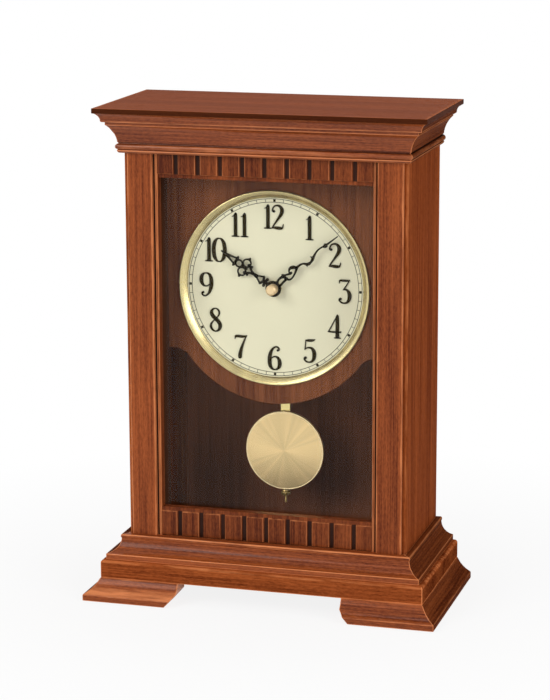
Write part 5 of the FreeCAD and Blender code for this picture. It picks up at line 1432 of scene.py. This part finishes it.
def make_camera(stage):
    """The camera at its place, turned to its aim and then about its own line of sight."""
    place, aim = Vector(stage.camera_place), Vector(stage.camera_aim)
    ahead = (aim - place).normalized()
    right = ahead.cross(Vector((0, 0, 1))).normalized()
    up = right.cross(ahead)
    turn = stage.camera_roll
    across = right * math.cos(turn) + up * math.sin(turn)
    above = up * math.cos(turn) - right * math.sin(turn)
    data = bpy.data.cameras.new("clock_camera")
    data.lens = stage.lens
    data.sensor_width = SENSOR
    data.clip_end = FAR_LIMIT
    camera = linked_object("clock_camera", data)
    rows = [(across[axis], above[axis], -ahead[axis], place[axis]) for axis in range(3)]
    camera.matrix_world = Matrix((*rows, (0, 0, 0, 1)))
    return camera


def make_floor():
    """A pale floor on a grid that is finest at the clock. What the camera sees of it fades to white
    away from the clock, and the clock's shadow stays on it."""
    steps = np.linspace(-1, 1, 25)
    wide = FLOOR_REACH * np.sign(steps) * np.abs(steps) ** FLOOR_WIDENING
    points = grid(*np.meshgrid(wide, wide), -FLOOR_GAP)
    index = np.arange(points.shape[0] * points.shape[1]).reshape(points.shape[:2])
    quads = np.stack([index[:-1, :-1], index[:-1, 1:], index[1:, 1:], index[1:, :-1]], -1).reshape(-1, 4)
    mesh = bpy.data.meshes.new("pale_floor")
    mesh.from_pydata(points.reshape(-1, 3).tolist(), [], quads.tolist())
    material, tree, shader, where = new_material("pale_floor")
    fixed(shader, {"Base Color": (FLOOR_GREY, FLOOR_GREY, FLOOR_GREY, 1), "Roughness": 0.9,
                   "Specular IOR Level": 0.1})
    seen = seen_plainly(tree)
    away = add(tree, "ShaderNodeVectorMath", {0: where}, operation="LENGTH").outputs["Value"]
    white = ranged(tree, away, 0.15, 0.45, 0.86, 1.0)
    glow = add(tree, "ShaderNodeEmission", {"Color": (1, 1, 1, 1), "Strength": 1.0})
    mix = add(tree, "ShaderNodeMixShader", {0: times(tree, seen, white), 1: shader.outputs[0],
                                            2: glow.outputs[0]})
    linked(tree, tree.nodes["Material Output"], {"Surface": mix.outputs[0]})
    mesh.materials.append(material)
    return linked_object("pale_floor", mesh)


class ClockStage(bpy.types.Operator):
    """Makes the camera, the pale floor, the white surroundings and the soft lamps"""
    bl_idname = "clock.stage"
    bl_label = "Stage"

    def execute(self, context):
        stage = context.scene.clock_stage
        context.scene.camera = make_camera(stage)
        make_floor()
        world = bpy.data.worlds.new("white_room")
        context.scene.world = world
        world.use_nodes = True
        tree = world.node_tree
        back = tree.nodes["Background"]
        fixed(back, {"Color": (1, 1, 1, 1)})
        linked(tree, back, {"Strength": ranged(tree, seen_plainly(tree), 0, 1, stage.sky_light, 1.0)})
        for *given, power in LAMPS:
            lamp(*given, getattr(stage, power))
        context.scene.view_settings.view_transform = "Standard"
        return {"FINISHED"}


class ClockPanel(bpy.types.Panel):
    """Lists the sizes, the colours and the steps that build the clock"""
    bl_idname = "VIEW3D_PT_clock"
    bl_label = "Desk pendulum clock"
    bl_space_type = "VIEW_3D"
    bl_region_type = "UI"
    bl_category = "Clock"

    def draw(self, context):
        layout = self.layout
        for group in dict(SETTINGS):
            settings = getattr(context.scene, group)
            column = layout.column(align=True)
            for name in settings.bl_rna.properties.keys():
                if name not in ("rna_type", "name"):
                    column.prop(settings, name)
        for step in STEPS:
            layout.operator(step.bl_idname)


SETTINGS = (("clock_wood", ClockWoodSettings), ("clock_dial", ClockDialSettings),
            ("clock_metal", ClockMetalSettings), ("clock_stage", ClockStageSettings))
STEPS = (ClockStage, ClockFinishes, ClockCrown, ClockBase, ClockCaseSides, ClockRails, ClockDial,
         ClockHands, ClockPendulum)


def register():
    """Registers the settings, the steps and the panel."""
    for name, group in SETTINGS:
        bpy.utils.register_class(group)
        setattr(bpy.types.Scene, name, PointerProperty(type=group))
    for kind in STEPS + (ClockPanel,):
        bpy.utils.register_class(kind)


def unregister():
    """Takes away all that register has made, in the opposite order."""
    for kind in reversed(STEPS + (ClockPanel,)):
        bpy.utils.unregister_class(kind)
    for name, group in reversed(SETTINGS):
        delattr(bpy.types.Scene, name)
        bpy.utils.unregister_class(group)


def main():
    """Builds the clock and its stage step by step."""
    register()
    for step in STEPS:
        area, name = step.bl_idname.split(".")
        getattr(getattr(bpy.ops, area), name)()


if __name__ == "__main__":
    main()
